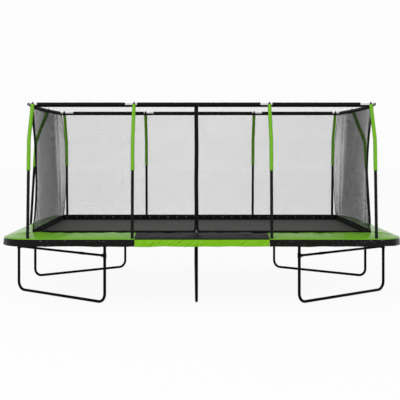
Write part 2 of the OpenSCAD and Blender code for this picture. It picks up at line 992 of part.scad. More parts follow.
// Loop of webbing just outside the mat's edge, round a V-ring's wide bar
module webbing_tab() {
    low = mat_t / 2 + tab_wall;
    bar_y = -staple_reach - spring_len - v_ring_len;
    hole = ring_wire + 2 * fit;
    difference() {
        union() {
            translate([-tab_w / 2, bar_y - mat_edge + fit, -low])
                cube([tab_w, 2 * mat_edge - fit, low + mat_t / 2 + webbing_t]);
            translate([-tab_w / 2, bar_y - mat_edge - webbing_w / 2, mat_t / 2])
                cube([tab_w, mat_edge + webbing_w / 2, webbing_t]);
        }
        translate([-tab_w, bar_y - hole / 2, -hole / 2])
            cube([2 * tab_w, hole, hole]);
    }
}

module mat_webbing() {
    color("#161617")
        union() {
            translate([0, 0, mat_top])
                linear_extrude(webbing_t)
                    difference() {
                        mat_plan(0);
                        mat_plan(webbing_w);
                    }
            spring_places(bend_x, rail_y, 0) webbing_tab();
            spring_places(bend_x, rail_y, 180) webbing_tab();
            spring_places(bend_y, rail_x, 90) webbing_tab();
            spring_places(bend_y, rail_x, -90) webbing_tab();
        }
}

// ---- Pads and skirts ----

// Crowned section of the pad, from its outer edge at x = 0 inwards along -X
module pad_section() {
    top = pad_rise + pad_crown - pad_roll_r;
    flat = pad_w - pad_roll_r;
    polygon(concat(
        [[0, 0], [0, pad_seam_t]],
        [for (i = [1 : pad_steps])
            [-flat * i / pad_steps,
             pad_seam_t + (top + pad_roll_r - pad_seam_t) * pow(sin(90 * i / pad_steps), 0.8)]],
        [for (a = [15 : 15 : 90])
            [-flat - pad_roll_r * sin(a), top + pad_roll_r * cos(a)]],
        [[-pad_w, pad_rise + 4], [-pad_w + 4, pad_rise], [-pad_rise_w, pad_rise]]
    ));
}

// Straight pad along X from from_x to to_x, its outer edge at y = pad_y
module pad_straight(from_x, to_x, edge) {
    translate([from_x, edge, pad_low])
        rotate([90, 0, 90])
            linear_extrude(to_x - from_x)
                pad_section();
}

module pad_notches() {
    for (sx = [-1, 1], sy = [-1, 1], x = [pole_inner_x, pole_corner_x])
        translate([sx * x, sy * (rail_y + pole_stand_off), pad_low - 10])
            union() {
                cylinder(d = notch_d, h = pad_crown + 40);
                translate([-notch_d / 2, sy > 0 ? 0 : -2 * notch_d, 0])
                    cube([notch_d, 2 * notch_d, pad_crown + 40]);
            }
    for (sx = [-1, 1])
        translate([sx * (rail_x + pole_stand_off), pole_side_y, pad_low - 10])
            cylinder(d = notch_d, h = pad_crown + 40);
}

// L-shaped pad: along a long side, round the corner and half way down the short side
module pad_end(sx, sy) {
    color("#5c9e1f")
        difference() {
            quarter(sx, sy)
                union() {
                    pad_straight(pad_middle, pad_cx, pad_y);
                    translate([pad_cx, pad_cy, pad_low])
                        rotate_extrude(angle = 90)
                            translate([pad_corner_r, 0])
                                pad_section();
                    translate([pad_x, pad_cy, pad_low])
                        rotate([90, 0, 0])
                            linear_extrude(pad_cy - fit / 2)
                                pad_section();
                }
            pad_notches();
        }
}

module pad_mid(sy) {
    color("#1b1c1e")
        quarter(1, sy)
            pad_straight(-pad_middle + fit, pad_middle - fit, pad_y);
}

module skirt_section() {
    translate([-skirt_t, -skirt_h])
        square([skirt_t, skirt_h - fit]);
}

module skirt_end(sx, sy) {
    color("#19191b")
        difference() {
            quarter(sx, sy)
                union() {
                    translate([pad_middle, pad_y, pad_low])
                        rotate([90, 0, 90])
                            linear_extrude(pad_cx - pad_middle)
                                skirt_section();
                    translate([pad_cx, pad_cy, pad_low])
                        rotate_extrude(angle = 90)
                            translate([pad_corner_r, 0])
                                skirt_section();
                    translate([pad_x, pad_cy, pad_low])
                        rotate([90, 0, 0])
                            linear_extrude(pad_cy - fit / 2)
                                skirt_section();
                }
            for (side = [-1, 1])
                translate([side * pad_x, pole_side_y, rail_z])
                    cube([4 * skirt_t + 2 * pole_d, 48, 4 * skirt_h], center = true);
        }
}

module skirt_mid(sy) {
    color("#7cbf12")
        quarter(1, sy)
            translate([-pad_middle + fit, pad_y, pad_low])
                rotate([90, 0, 90])
                    linear_extrude(2 * pad_middle - 2 * fit)
                        skirt_section();
}

// ---- Net and door ----

// Hemmed net panel in the XZ plane, from its foot's ends to its top's ends
module net_panel(foot_from, foot_to, top_from, top_to) {
    cols = max(1, round((foot_to - foot_from) / net_pitch));
    rows = net_rows;
    open_h = net_h - foot_hem_h - top_hem_h;
    rotate([90, 0, 0])
        translate([0, 0, -net_t])
            linear_extrude(net_t)
                difference() {
                    polygon([[foot_from, 0], [foot_to, 0], [top_to, net_h], [top_from, net_h]]);
                    for (i = [0 : cols - 1], j = [0 : rows - 1]) {
                        low = foot_hem_h + open_h * j / rows + (j > 0 ? thread_w / 2 : 0);
                        high = foot_hem_h + open_h * (j + 1) / rows - (j < rows - 1 ? thread_w / 2 : 0);
                        left = i > 0 ? thread_w / 2 : end_hem_w;
                        right = i < cols - 1 ? thread_w / 2 : end_hem_w;
                        polygon([
                            for (c = [[i, low, left], [i + 1, low, -right], [i + 1, high, -right], [i, high, left]])
                                [(foot_from + (foot_to - foot_from) * c[0] / cols) * (1 - c[1] / net_h)
                                 + (top_from + (top_to - top_from) * c[0] / cols) * c[1] / net_h + c[2], c[1]]
                        ]);
                    }
                }
}

module net_front(side) {
    edge = flap_x + side * (flap_w / 2 + fit);
    foot = side * (net_x - fit);
    top = side * (side_net_top_x - fit);
    color("#4a4b4d")
        translate([0, -net_y - net_t, net_foot_z])
            net_panel(min(edge, foot), max(edge, foot), min(edge, top), max(edge, top));
}

module net_rear() {
    foot = net_x - fit;
    top = side_net_top_x - fit;
    color("#4a4b4d")
        translate([0, net_y, net_foot_z])
            net_panel(-foot, foot, -top, top);
}

module net_side(sx) {
    half = net_y - fit;
    color("#4a4b4d")
        mirror([sx < 0 ? 1 : 0, 0, 0])
            translate([net_x, 0, net_foot_z])
                rotate([0, side_net_lean, 0])
                    rotate([0, 0, -90])
                        net_panel(-half, half, -half, half);
}

// Strip over the zip, parted at its foot into two tails
module zip_flap() {
    half = flap_w / 2;
    tail_z = flap_split_z - flap_tail_h;
    tail_w = half - 8;
    color("#0f0f10")
        translate([flap_x, -net_y, 0])
            rotate([90, 0, 0])
                linear_extrude(net_t)
                    polygon([
                        [-half, net_top_z], [half, net_top_z], [half, flap_split_z],
                        [half, flap_split_z - flap_tail_h / 2],
                        [half, tail_z], [half - tail_w / 2, tail_z],
                        [0, flap_split_z], [-half + tail_w / 2, tail_z], [-half, tail_z],
                        [-half, flap_split_z - flap_tail_h / 2], [-half, flap_split_z]
                    ]);
}

// Slider of the zip, on the outer face of the flap
module zip_slider() {
    color("#2c2c2e")
        translate([flap_x, -net_y - net_t - fit, flap_split_z])
            rotate([90, 0, 0]) {
                linear_extrude(slider_t)
                    polygon([
                        [-slider_w / 3, 0], [slider_w / 3, 0],
                        [slider_w / 2, slider_h * 0.6], [slider_w / 3, slider_h],
                        [-slider_w / 3, slider_h], [-slider_w / 2, slider_h * 0.6]
                    ]);
                translate([-slider_w / 4, -slider_h * 0.9, slider_t / 3])
                    cube([slider_w / 2, slider_h, slider_t / 3]);
            }
}

long_rail(-1, -1);  // rail_front_left
long_rail(1, -1);  // rail_front_right
long_rail(-1, 1);  // rail_rear_left
long_rail(1, 1);  // rail_rear_right
short_rail(-1);  // rail_left
short_rail(1);  // rail_right
rail_joiners();
elbow(-1, -1);  // elbow_front_left
elbow(1, -1);  // elbow_front_right
elbow(-1, 1);  // elbow_rear_left
elbow(1, 1);  // elbow_rear_right
leg_saddles();
corner_leg(-1, -1);  // leg_front_left
corner_leg(1, -1);  // leg_front_right
corner_leg(-1, 1);  // leg_rear_left
corner_leg(1, 1);  // leg_rear_right
centre_leg();
crossbar(-1, -1);  // crossbar_front_left
crossbar(1, -1);  // crossbar_front_right
crossbar(-1, 1);  // crossbar_rear_left
crossbar(1, 1);  // crossbar_rear_right
crossbar_sleeves();
crossbar_collars();
pole_brackets();
lower_poles();
upper_poles();
black_pole_sleeves();
green_pole_sleeves();
pole_caps();
ring_rods();
ring_sleeves();
spring_staples();
spring_row(bend_x, rail_y, 180);  // springs_front
spring_row(bend_x, rail_y, 0);  // springs_rear
spring_row(bend_y, rail_x, 90);  // springs_left
spring_row(bend_y, rail_x, -90);  // springs_right
v_rings();
mat();
mat_webbing();
pad_end(-1, -1);  // pad_front_left
pad_end(1, -1);  // pad_front_right
pad_end(-1, 1);  // pad_rear_left
pad_end(1, 1);  // pad_rear_right
pad_mid(-1);  // pad_front_middle
pad_mid(1);  // pad_rear_middle
skirt_end(-1, -1);  // skirt_front_left
skirt_end(1, -1);  // skirt_front_right
skirt_end(-1, 1);  // skirt_rear_left
skirt_end(1, 1);  // skirt_rear_right
skirt_mid(-1);  // skirt_front_middle
skirt_mid(1);  // skirt_rear_middle
net_front(-1);  // net_front_left
net_front(1);  // net_front_right
net_rear();
net_side(-1);  // net_left
net_side(1);  // net_right
zip_flap();
zip_slider();
leg_bolts();
pole_bolts();
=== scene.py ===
# %% [markdown]
# # A rectangular garden trampoline, from bare frame to finished picture
# The steel frame comes in as exact CAD. This notebook dresses it: soft pads and skirts, foam sleeves,
# coiled springs and a knitted net, each built from a few named sizes in metres.

import json
import math

import bpy
import numpy as np
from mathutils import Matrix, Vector


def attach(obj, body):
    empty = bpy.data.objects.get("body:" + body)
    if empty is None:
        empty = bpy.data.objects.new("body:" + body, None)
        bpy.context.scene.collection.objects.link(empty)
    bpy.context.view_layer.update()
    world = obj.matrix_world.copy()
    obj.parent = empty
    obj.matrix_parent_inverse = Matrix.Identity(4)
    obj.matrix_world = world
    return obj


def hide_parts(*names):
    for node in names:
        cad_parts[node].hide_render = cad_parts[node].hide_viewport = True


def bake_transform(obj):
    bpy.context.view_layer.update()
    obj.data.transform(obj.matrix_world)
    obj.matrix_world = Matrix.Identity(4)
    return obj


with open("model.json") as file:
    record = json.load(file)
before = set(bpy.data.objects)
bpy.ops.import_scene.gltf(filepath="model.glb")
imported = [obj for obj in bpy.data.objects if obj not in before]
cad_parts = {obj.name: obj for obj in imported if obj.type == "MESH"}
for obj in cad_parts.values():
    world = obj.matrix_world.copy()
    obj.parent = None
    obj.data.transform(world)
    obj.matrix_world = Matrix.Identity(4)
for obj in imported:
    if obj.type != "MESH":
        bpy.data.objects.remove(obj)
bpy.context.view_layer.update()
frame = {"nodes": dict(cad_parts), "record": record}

# %% [markdown]
# ## The sizes that everything shares
# These repeat the frame's own driving sizes, so that soft parts meet the steel exactly.

# %% Sizes
RAIL_X, RAIL_Y, RAIL_Z = 2.566, 1.499, 0.808
SPRING_Z = 0.829
PAD_X, PAD_Y, PAD_R, PAD_W = 2.600, 1.572, 0.355, 0.350
PAD_LOW = 0.8333
PAD_RISE = 0.009
PAD_CROWN = 0.048
PAD_MIDDLE = 0.862
SKIRT_H = 0.092
MAT_X, MAT_Y = 2.3222, 1.2552
NET_Y, NET_X = 1.2202, 2.2442
NET_FOOT, NET_TOP = 0.836, 2.574
RING_Y, RING_X, RING_Z = 1.240, 2.355, 2.585
RING_BOW, RING_CORNER = 11.840, 0.044
POLE_LEAN = math.radians(3.5)
POLE_FOOT_Z, KNEE_Z, KNEE_R = 0.764, 2.110, 0.260
POLE_XS = (-2.231, -0.893, 0.893, 2.231)
POLE_SIDE_Y = 0.450
FLAP_X, FLAP_W, FLAP_SPLIT = -0.070, 0.053, 0.955
SPRING_PITCH = 0.150
STAPLE_REACH, SPRING_LEN, V_RING_LEN = 0.037, 0.167, 0.033
BEND_X, BEND_Y = 2.246, 1.179

ring_a = math.asin((RING_Y - RING_CORNER) / (RING_BOW - RING_CORNER))
RING_CX = RING_X - RING_BOW + (RING_BOW - RING_CORNER) * math.cos(ring_a)


def ring_side_x(y):
    return RING_X - RING_BOW + np.sqrt(RING_BOW**2 - np.asarray(y) ** 2)


# %% [markdown]
# ## Materials
# Every finish is a small node tree. Noise in object coordinates varies the colour and the roughness,
# and a bump makes the grain that is too fine to model.


# %% Materials
def linear(rgb):
    return [((c / 255 + 0.055) / 1.055) ** 2.4 if c > 10 else c / 255 / 12.92 for c in rgb]


def finish_of(name, rgb, rough=0.5, metal=0.0, vary=0.12, scale=8.0, grain=None, grain_scale=900.0,
              grain_height=0.0004, shine=0.5):
    m = bpy.data.materials.new(name)
    m.use_nodes = True
    nt = m.node_tree
    n, link = nt.nodes, nt.links
    bsdf = n["Principled BSDF"]
    base = linear(rgb)
    bsdf.inputs["Metallic"].default_value = metal
    bsdf.inputs["Specular IOR Level"].default_value = shine
    coord = n.new("ShaderNodeTexCoord")
    cloud = n.new("ShaderNodeTexNoise")
    cloud.inputs["Scale"].default_value = scale
    cloud.inputs["Detail"].default_value = 5.0
    link.new(coord.outputs["Object"], cloud.inputs["Vector"])
    mix = n.new("ShaderNodeMix")
    mix.data_type = "RGBA"
    dark = [c * (1 - vary) for c in base]
    light = [min(1.0, c * (1 + vary) + 0.002) for c in base]
    mix.inputs["A"].default_value = (*dark, 1)
    mix.inputs["B"].default_value = (*light, 1)
    link.new(cloud.outputs["Fac"], mix.inputs["Factor"])
    link.new(mix.outputs["Result"], bsdf.inputs["Base Color"])
    spread = n.new("ShaderNodeMapRange")
    spread.inputs["To Min"].default_value = max(0.03, rough - 0.1)
    spread.inputs["To Max"].default_value = min(1.0, rough + 0.1)
    link.new(cloud.outputs["Fac"], spread.inputs["Value"])
    link.new(spread.outputs["Result"], bsdf.inputs["Roughness"])
    if grain:
        fine = n.new("ShaderNodeTexBrick" if grain == "weave" else "ShaderNodeTexNoise")
        fine.inputs["Scale"].default_value = grain_scale
        if grain == "weave":
            fine.inputs["Mortar Size"].default_value = 0.08
        else:
            fine.inputs["Detail"].default_value = 3.0
        link.new(coord.outputs["Object"], fine.inputs["Vector"])
        bump = n.new("ShaderNodeBump")
        bump.inputs["Strength"].default_value = 0.6
        bump.inputs["Distance"].default_value = grain_height
        link.new(fine.outputs["Fac"], bump.inputs["Height"])
        link.new(bump.outputs["Normal"], bsdf.inputs["Normal"])
    return m


steel = finish_of("black powder coat", (5, 5, 5), rough=0.42, grain="noise", grain_scale=700, shine=0.03)
zinc = finish_of("zinc plate", (176, 178, 180), rough=0.3, metal=1.0, grain="noise", grain_scale=400)
black_foam = finish_of("black foam skin", (19, 19, 18), rough=0.6, grain="noise", grain_scale=260, shine=0.08)
green_foam = finish_of("green foam skin", (110, 174, 26), rough=0.5, vary=0.08, grain="noise",
                       grain_scale=180, shine=0.24)
cap_plastic = finish_of("cap plastic", (14, 14, 14), rough=0.4, shine=0.3)
rod_grey = finish_of("ring rod", (178, 181, 183), rough=0.35, metal=0.3)
mat_cloth = finish_of("mat weave", (71, 72, 69), rough=0.75, vary=0.06, grain="weave", grain_scale=420,
                      shine=0.3)
webbing = finish_of("black webbing", (9, 9, 9), rough=0.75, grain="weave", grain_scale=500, shine=0.08)
green_pad = finish_of("green pad cover", (108, 174, 2), rough=0.24, vary=0.08, grain="noise", grain_scale=120,
                      grain_height=0.0008, shine=0.36)
black_pad = finish_of("black pad cover", (13, 13, 13), rough=0.46, vary=0.1, grain="noise", grain_scale=120,
                      grain_height=0.0008, shine=0.12)
black_skirt = finish_of("black skirt cloth", (4, 4, 3), rough=0.2, vary=0.1, grain="noise", grain_scale=90,
                        grain_height=0.0005, shine=0.13)
lime_skirt = finish_of("lime skirt cloth", (122, 186, 2), rough=0.4, vary=0.07, grain="noise",
                       grain_scale=150, grain_height=0.001, shine=0.22)
net_thread = finish_of("net thread", (22, 22, 21), rough=0.8, vary=0.2, shine=0.1)
dark_thread = finish_of("dark thread", (52, 53, 55), rough=0.7)

SLOT_LOOKS = {
    "frame_steel": steel, "zinc_steel": zinc, "black_foam": black_foam, "green_foam": green_foam,
    "cap_plastic": cap_plastic, "ring_rod": rod_grey, "mat_cloth": mat_cloth, "webbing": webbing,
    "green_pad": green_pad, "black_pad": black_pad, "black_skirt": black_skirt, "lime_skirt": lime_skirt,
    "net": net_thread,
}
slot_of = {s["node"]: s["material_slot"] for s in frame["record"]["subparts"]}
for node_name, node_obj in frame["nodes"].items():
    look = SLOT_LOOKS[slot_of[node_name]]
    node_obj.data.materials.clear()
    node_obj.data.materials.append(look)
print("finishes:", len(SLOT_LOOKS))

# %% [markdown]
# ## Tools for building meshes
# A grid of points over two parameters makes any cloth or foam surface. A sweep makes tubes. Plain arrays
# are used rather than sculpting, so each surface follows from the named sizes.


# %% Mesh tools
def add_object(name, verts, faces, look, smooth=True):
    me = bpy.data.meshes.new(name)
    me.from_pydata(np.asarray(verts).tolist(), [], [tuple(map(int, f)) for f in faces])
    me.update()
    me.materials.append(look)
    if smooth:
        me.polygons.foreach_set("use_smooth", [True] * len(me.polygons))
    o = bpy.data.objects.new(name, me)
    bpy.context.scene.collection.objects.link(o)
    return o


def grid_faces(rows, cols, wrap=False):
    """Quads over a rows by cols grid of points; wrap closes the columns into a loop."""
    r = np.arange(rows - 1)[:, None]
    c = np.arange(cols if wrap else cols - 1)[None, :]
    nxt = (c + 1) % cols
    quads = np.stack([r * cols + c, r * cols + nxt, (r + 1) * cols + nxt, (r + 1) * cols + c], -1)
    return quads.reshape(-1, 4)


def loop_solid(name, grid, look):
    """Solid whose sections are closed loops: grid is sections by loop points by 3."""
    rows, cols = grid.shape[:2]
    faces = grid_faces(rows, cols, wrap=True).tolist()
    faces.append(list(range(cols))[::-1])
    faces.append([(rows - 1) * cols + i for i in range(cols)])
    return add_object(name, grid.reshape(-1, 3), faces, look)


def shell(name, grid, offset, look):
    """Thin closed cloth: a grid of points and the same grid moved by offset, joined at the rim."""
    rows, cols = grid.shape[:2]
    front, back = grid.reshape(-1, 3), (grid + offset).reshape(-1, 3)
    n = rows * cols
    faces = grid_faces(rows, cols)
    other = faces[:, ::-1] + n
    ids = np.arange(n).reshape(rows, cols)
    rim = np.concatenate([ids[0, :], ids[1:, -1], ids[-1, -2::-1], ids[-2:0:-1, 0]])
    nxt = np.roll(rim, -1)
    side = np.stack([nxt, rim, rim + n, nxt + n], -1)
    return add_object(name, np.vstack([front, back]), np.vstack([faces, other, side]), look)


def ripples(seed, size):
    """A smooth random field over points, about -1 to 1, with features about size across."""
    count, low, high = 14, 0.6, 1.8
    rng = np.random.default_rng(seed)
    waves = rng.normal(size=(count, 3))
    waves /= np.linalg.norm(waves, axis=1)[:, None]
    waves *= rng.uniform(low, high, count)[:, None] * 2 * np.pi / size
    phase = rng.uniform(0, 2 * np.pi, count)

    def field(p):
        return np.sin(np.asarray(p) @ waves.T + phase).sum(-1) / math.sqrt(count / 2) / 1.6

    return field


def smoothstep(x):
    x = np.clip(x, 0, 1)
    return x * x * (3 - 2 * x)


def path_frames(path):
    """Two cross directions along a path."""
    tangent = np.gradient(path, axis=0)
    tangent /= np.linalg.norm(tangent, axis=1)[:, None]
    ref = np.array([0, 0, 1.0]) if abs(tangent[0, 2]) < 0.7 else np.array([1.0, 0, 0])
    side = np.cross(tangent, ref)
    side /= np.linalg.norm(side, axis=1)[:, None]
    return side, np.cross(side, tangent)


def foam_tube(path, outer, inner, sides=20):
    """Points and faces of a foam sleeve round a path: outer is one radius or one for each ring."""
    path = np.asarray(path, float)
    side, up = path_frames(path)
    angle = np.linspace(0, 2 * np.pi, sides, endpoint=False)
    outer = np.broadcast_to(np.asarray(outer, float).reshape(len(path), -1) if np.ndim(outer) else outer,
                            (len(path), sides))
    ring = np.cos(angle)[None, :, None] * side[:, None, :] + np.sin(angle)[None, :, None] * up[:, None, :]
    skin = path[:, None, :] + ring * outer[:, :, None]
    core = path[:, None, :] + ring * inner
    rows = len(path)
    grid = np.vstack([skin, core[::-1], skin[:1]])
    faces = grid_faces(2 * rows + 1, sides, wrap=True)
    faces = np.where(faces >= 2 * rows * sides, faces - 2 * rows * sides, faces)
    return grid[:-1].reshape(-1, 3), faces[:, ::-1]


def joined(name, parts, look):
    verts, faces, base = [], [], 0
    for v, f in parts:
        verts.append(v)
        faces.append(np.asarray(f) + base)
        base += len(v)
    return add_object(name, np.vstack(verts), np.vstack(faces), look)


# %% [markdown]
# ## Geometry Nodes trees for what repeats
# One tree turns lines into thread, one lays stitches along a line, and one copies an object to many
# places. The lines are the only thing stored, and one radius changes every thread made from them.


# %% Node trees
def new_tree(name, sockets):
    t = bpy.data.node_groups.new(name, "GeometryNodeTree")
    t.interface.new_socket("Geometry", in_out="INPUT", socket_type="NodeSocketGeometry")
    for label, kind in sockets:
        t.interface.new_socket(label, in_out="INPUT", socket_type=kind)
    t.interface.new_socket("Geometry", in_out="OUTPUT", socket_type="NodeSocketGeometry")
    return t, t.nodes.new("NodeGroupInput"), t.nodes.new("NodeGroupOutput")


def make_thread_tree():
    t, gin, gout = new_tree("Thread", [("Radius", "NodeSocketFloat"), ("Sides", "NodeSocketInt"),
                                       ("Material", "NodeSocketMaterial")])
    line = t.nodes.new("GeometryNodeMeshToCurve")
    circle = t.nodes.new("GeometryNodeCurvePrimitiveCircle")
    tube = t.nodes.new("GeometryNodeCurveToMesh")
    tube.inputs["Fill Caps"].default_value = True
    paint = t.nodes.new("GeometryNodeSetMaterial")
    t.links.new(gin.outputs["Geometry"], line.inputs["Mesh"])
    t.links.new(gin.outputs["Radius"], circle.inputs["Radius"])
    t.links.new(gin.outputs["Sides"], circle.inputs["Resolution"])
    t.links.new(line.outputs["Curve"], tube.inputs["Curve"])
    t.links.new(circle.outputs["Curve"], tube.inputs["Profile Curve"])
    t.links.new(tube.outputs["Mesh"], paint.inputs["Geometry"])
    t.links.new(gin.outputs["Material"], paint.inputs["Material"])
    t.links.new(paint.outputs["Geometry"], gout.inputs["Geometry"])
    return t


def make_stitch_tree():
    t, gin, gout = new_tree("Stitches", [("Pitch", "NodeSocketFloat"), ("Length", "NodeSocketFloat"),
                                         ("Radius", "NodeSocketFloat"), ("Material", "NodeSocketMaterial")])
    line = t.nodes.new("GeometryNodeMeshToCurve")
    spots = t.nodes.new("GeometryNodeCurveToPoints")
    spots.mode = "LENGTH"
    bar = t.nodes.new("GeometryNodeMeshCylinder")
    bar.inputs["Vertices"].default_value = 6
    copies = t.nodes.new("GeometryNodeInstanceOnPoints")
    real = t.nodes.new("GeometryNodeRealizeInstances")
    paint = t.nodes.new("GeometryNodeSetMaterial")
    t.links.new(gin.outputs["Geometry"], line.inputs["Mesh"])
    t.links.new(line.outputs["Curve"], spots.inputs["Curve"])
    t.links.new(gin.outputs["Pitch"], spots.inputs["Length"])
    t.links.new(gin.outputs["Length"], bar.inputs["Depth"])
    t.links.new(gin.outputs["Radius"], bar.inputs["Radius"])
    t.links.new(spots.outputs["Points"], copies.inputs["Points"])
    t.links.new(spots.outputs["Rotation"], copies.inputs["Rotation"])
    t.links.new(bar.outputs["Mesh"], copies.inputs["Instance"])
    t.links.new(copies.outputs["Instances"], real.inputs["Geometry"])
    t.links.new(real.outputs["Geometry"], paint.inputs["Geometry"])
    t.links.new(gin.outputs["Material"], paint.inputs["Material"])
    t.links.new(paint.outputs["Geometry"], gout.inputs["Geometry"])
    return t


def make_copy_tree():
    t, gin, gout = new_tree("Copies", [("Source", "NodeSocketObject"), ("Turn", "NodeSocketVector"),
                                       ("Material", "NodeSocketMaterial")])
    info = t.nodes.new("GeometryNodeObjectInfo")
    copies = t.nodes.new("GeometryNodeInstanceOnPoints")
    real = t.nodes.new("GeometryNodeRealizeInstances")
    paint = t.nodes.new("GeometryNodeSetMaterial")
    t.links.new(gin.outputs["Source"], info.inputs["Object"])
    t.links.new(gin.outputs["Geometry"], copies.inputs["Points"])
    t.links.new(info.outputs["Geometry"], copies.inputs["Instance"])
    t.links.new(gin.outputs["Turn"], copies.inputs["Rotation"])
    t.links.new(copies.outputs["Instances"], real.inputs["Geometry"])
    t.links.new(real.outputs["Geometry"], paint.inputs["Geometry"])
    t.links.new(gin.outputs["Material"], paint.inputs["Material"])
    t.links.new(paint.outputs["Geometry"], gout.inputs["Geometry"])
    return t


THREAD, STITCHES, COPIES = make_thread_tree(), make_stitch_tree(), make_copy_tree()


def run_tree(name, verts, edges, tree, **values):
    """Runs a tree on points and lines, and returns what it makes as a plain mesh object."""
    me = bpy.data.meshes.new(name + " lines")
    me.from_pydata(np.asarray(verts, float).tolist(), np.asarray(edges, int).tolist(), [])
    src = bpy.data.objects.new(name + " lines", me)
    bpy.context.scene.collection.objects.link(src)
    mod = src.modifiers.new("tree", "NODES")
    mod.node_group = tree
    ids = {i.name: i.identifier for i in tree.interface.items_tree if i.in_out == "INPUT"}
    for label, value in values.items():
        mod[ids[label]] = value
    bpy.context.view_layer.update()
    seen = src.evaluated_get(bpy.context.evaluated_depsgraph_get())
    made = bpy.data.meshes.new_from_object(seen)
    made.name = name
    out = bpy.data.objects.new(name, made)
    bpy.context.scene.collection.objects.link(out)
    bpy.data.objects.remove(src)
    return out


def chain(lines):
    """Points and edges of many separate polylines."""
    verts, edges, base = [], [], 0
    for line in lines:
        n = len(line)
        verts.append(np.asarray(line, float))
        edges.append(np.stack([np.arange(n - 1), np.arange(1, n)], -1) + base)
        base += n
    return np.vstack(verts), np.vstack(edges)


def thread(name, lines, radius, look, sides=4):
    v, e = chain(lines)
    return run_tree(name, v, e, THREAD, Radius=radius, Sides=sides, Material=look)


def stitches(name, lines, look, pitch=0.012, length=0.008, radius=0.0011):
    v, e = chain(lines)
    return run_tree(name, v, e, STITCHES, Pitch=pitch, Length=length, Radius=radius, Material=look)


# %% [markdown]
# ## Edge pads
# A pad's section runs from a flat sewn seam at the outside up to a full, rolled inner edge. The section
# follows the frame's outline, and folds run across the pad where the cover gathers. A cloth simulation
# could make the folds, but a seeded field gives the same ones on every run.


# %% Pad shapes
def outline_end(s, inset):
    """Point on the right rear quarter's outline at length s, moved in by inset, and its outward normal."""
    cx, cy = PAD_X - PAD_R, PAD_Y - PAD_R
    run = cx - PAD_MIDDLE
    arc = PAD_R * math.pi / 2
    s, inset = np.broadcast_arrays(np.asarray(s, float), np.asarray(inset, float))
    phi = np.clip((s - run) / PAD_R, 0, math.pi / 2)
    n = np.stack([np.sin(phi), np.cos(phi), np.zeros_like(phi)], -1)
    x = np.where(s < run, PAD_MIDDLE + s, cx + (PAD_R - inset) * np.sin(phi))
    y = np.where(s < run, PAD_Y - inset, cy + (PAD_R - inset) * np.cos(phi))
    y = np.where(s > run + arc, cy - (s - run - arc), y)
    x = np.where(s > run + arc, PAD_X - inset, x)
    return np.stack([x, y, np.zeros_like(x)], -1), n


END_LENGTH = (PAD_X - PAD_R - PAD_MIDDLE) + PAD_R * math.pi / 2 + (PAD_Y - PAD_R) - 0.002


def outline_middle(s, inset):
    s, inset = np.broadcast_arrays(np.asarray(s, float), np.asarray(inset, float))
    return (np.stack([s, PAD_Y - inset, np.zeros_like(s)], -1),
            np.broadcast_to([0.0, 1.0, 0.0], s.shape + (3,)))


def pad_section():
    """Insets and heights round the pad's section, and how free each point is to fold."""
    n_top, n_low = 22, 8
    roll = 0.021
    top = PAD_RISE + PAD_CROWN
    t = np.linspace(0, 1, n_top)
    d_top = (PAD_W - roll) * t
    z_top = 0.006 + (top - 0.006) * np.sin(t * math.pi / 2) ** 0.8
    a = np.radians(np.linspace(15, 165, 9))
    d_roll = PAD_W - roll + roll * np.sin(a)
    z_roll = top - roll + roll * np.cos(a)
    d_low = np.linspace(PAD_W - roll, 0.0, n_low)
    z_low = np.interp(d_low, [0, 0.09, PAD_W], [0, PAD_RISE, PAD_RISE])
    d = np.concatenate([d_top, d_roll, d_low])
    z = np.concatenate([z_top, z_roll, z_low])
    free = np.concatenate([smoothstep(t * 2.2), np.linspace(1, 0.2, 9), np.zeros(n_low)])
    return d, z, free


def pad_surface(outline, s, seed, corner):
    """Grid of points of one pad along the lengths s."""
    d, z, free = pad_section()
    p = outline(s[:, None], d[None, :])[0].copy()
    flat = np.stack([s[:, None] + 0 * d, d[None, :] + 0 * s[:, None], 0 * p[..., 0]], -1)
    folds = ripples(seed, 0.24)(flat * [1.0, 0.45, 0])
    crease = 1 - 2 * np.abs(ripples(seed + 3, 0.42)(flat * [1.0, 1.4, 0]))
    fine = ripples(seed + 1, 0.06)(flat * [1.0, 0.5, 0])
    slow = ripples(seed + 2, 0.8)(flat)
    lift = 0.0034 * folds + 0.0026 * np.clip(crease, -1, 1) + 0.0006 * fine + 0.004 * slow
    if corner:
        run = PAD_X - PAD_R - PAD_MIDDLE
        phi = (s - run) / PAD_R
        near = np.exp(-((phi - math.pi / 4) / 0.75) ** 2)[:, None]
        fan = np.sin(phi * 17 + 1.3 * np.sin(phi * 5.0))[:, None]
        lift = lift + near * fan * 0.007 * np.clip(d / PAD_W * 1.3, 0, 1)
    p[..., 2] = PAD_LOW + z + lift * free
    return p


def mirrored(obj_points, sx, sy):
    q = obj_points.copy()
    q[..., 0] *= sx
    q[..., 1] *= sy
    return q if sx * sy > 0 else q[:, ::-1]


# %% Pads
QUARTERS = {"front_left": (-1, -1), "front_right": (1, -1), "rear_left": (-1, 1), "rear_right": (1, 1)}
for k, (label, (sx, sy)) in enumerate(QUARTERS.items()):
    s = np.linspace(0.001, END_LENGTH, 330)
    grid = mirrored(pad_surface(outline_end, s, 10 + 7 * k, True), sx, sy)
    o = loop_solid("pad_cover_" + label, grid, green_pad)
    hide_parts("pad_" + label)
    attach(o, "frame")
for k, (label, sy) in enumerate((("front", -1), ("rear", 1))):
    s = np.linspace(-PAD_MIDDLE + 0.001, PAD_MIDDLE - 0.001, 230)
    grid = mirrored(pad_surface(outline_middle, s, 60 + 9 * k, False), 1, sy)
    o = loop_solid("pad_cover_%s_middle" % label, grid, black_pad)
    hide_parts("pad_%s_middle" % label)
    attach(o, "frame")
print("pads: 6")

# %% [markdown]
# ## Skirts
# The skirt hangs from the pad's seam. Its folds start at nothing at the seam and grow towards the free
# lower edge, and it bulges where the short side's pole bracket stands behind it.


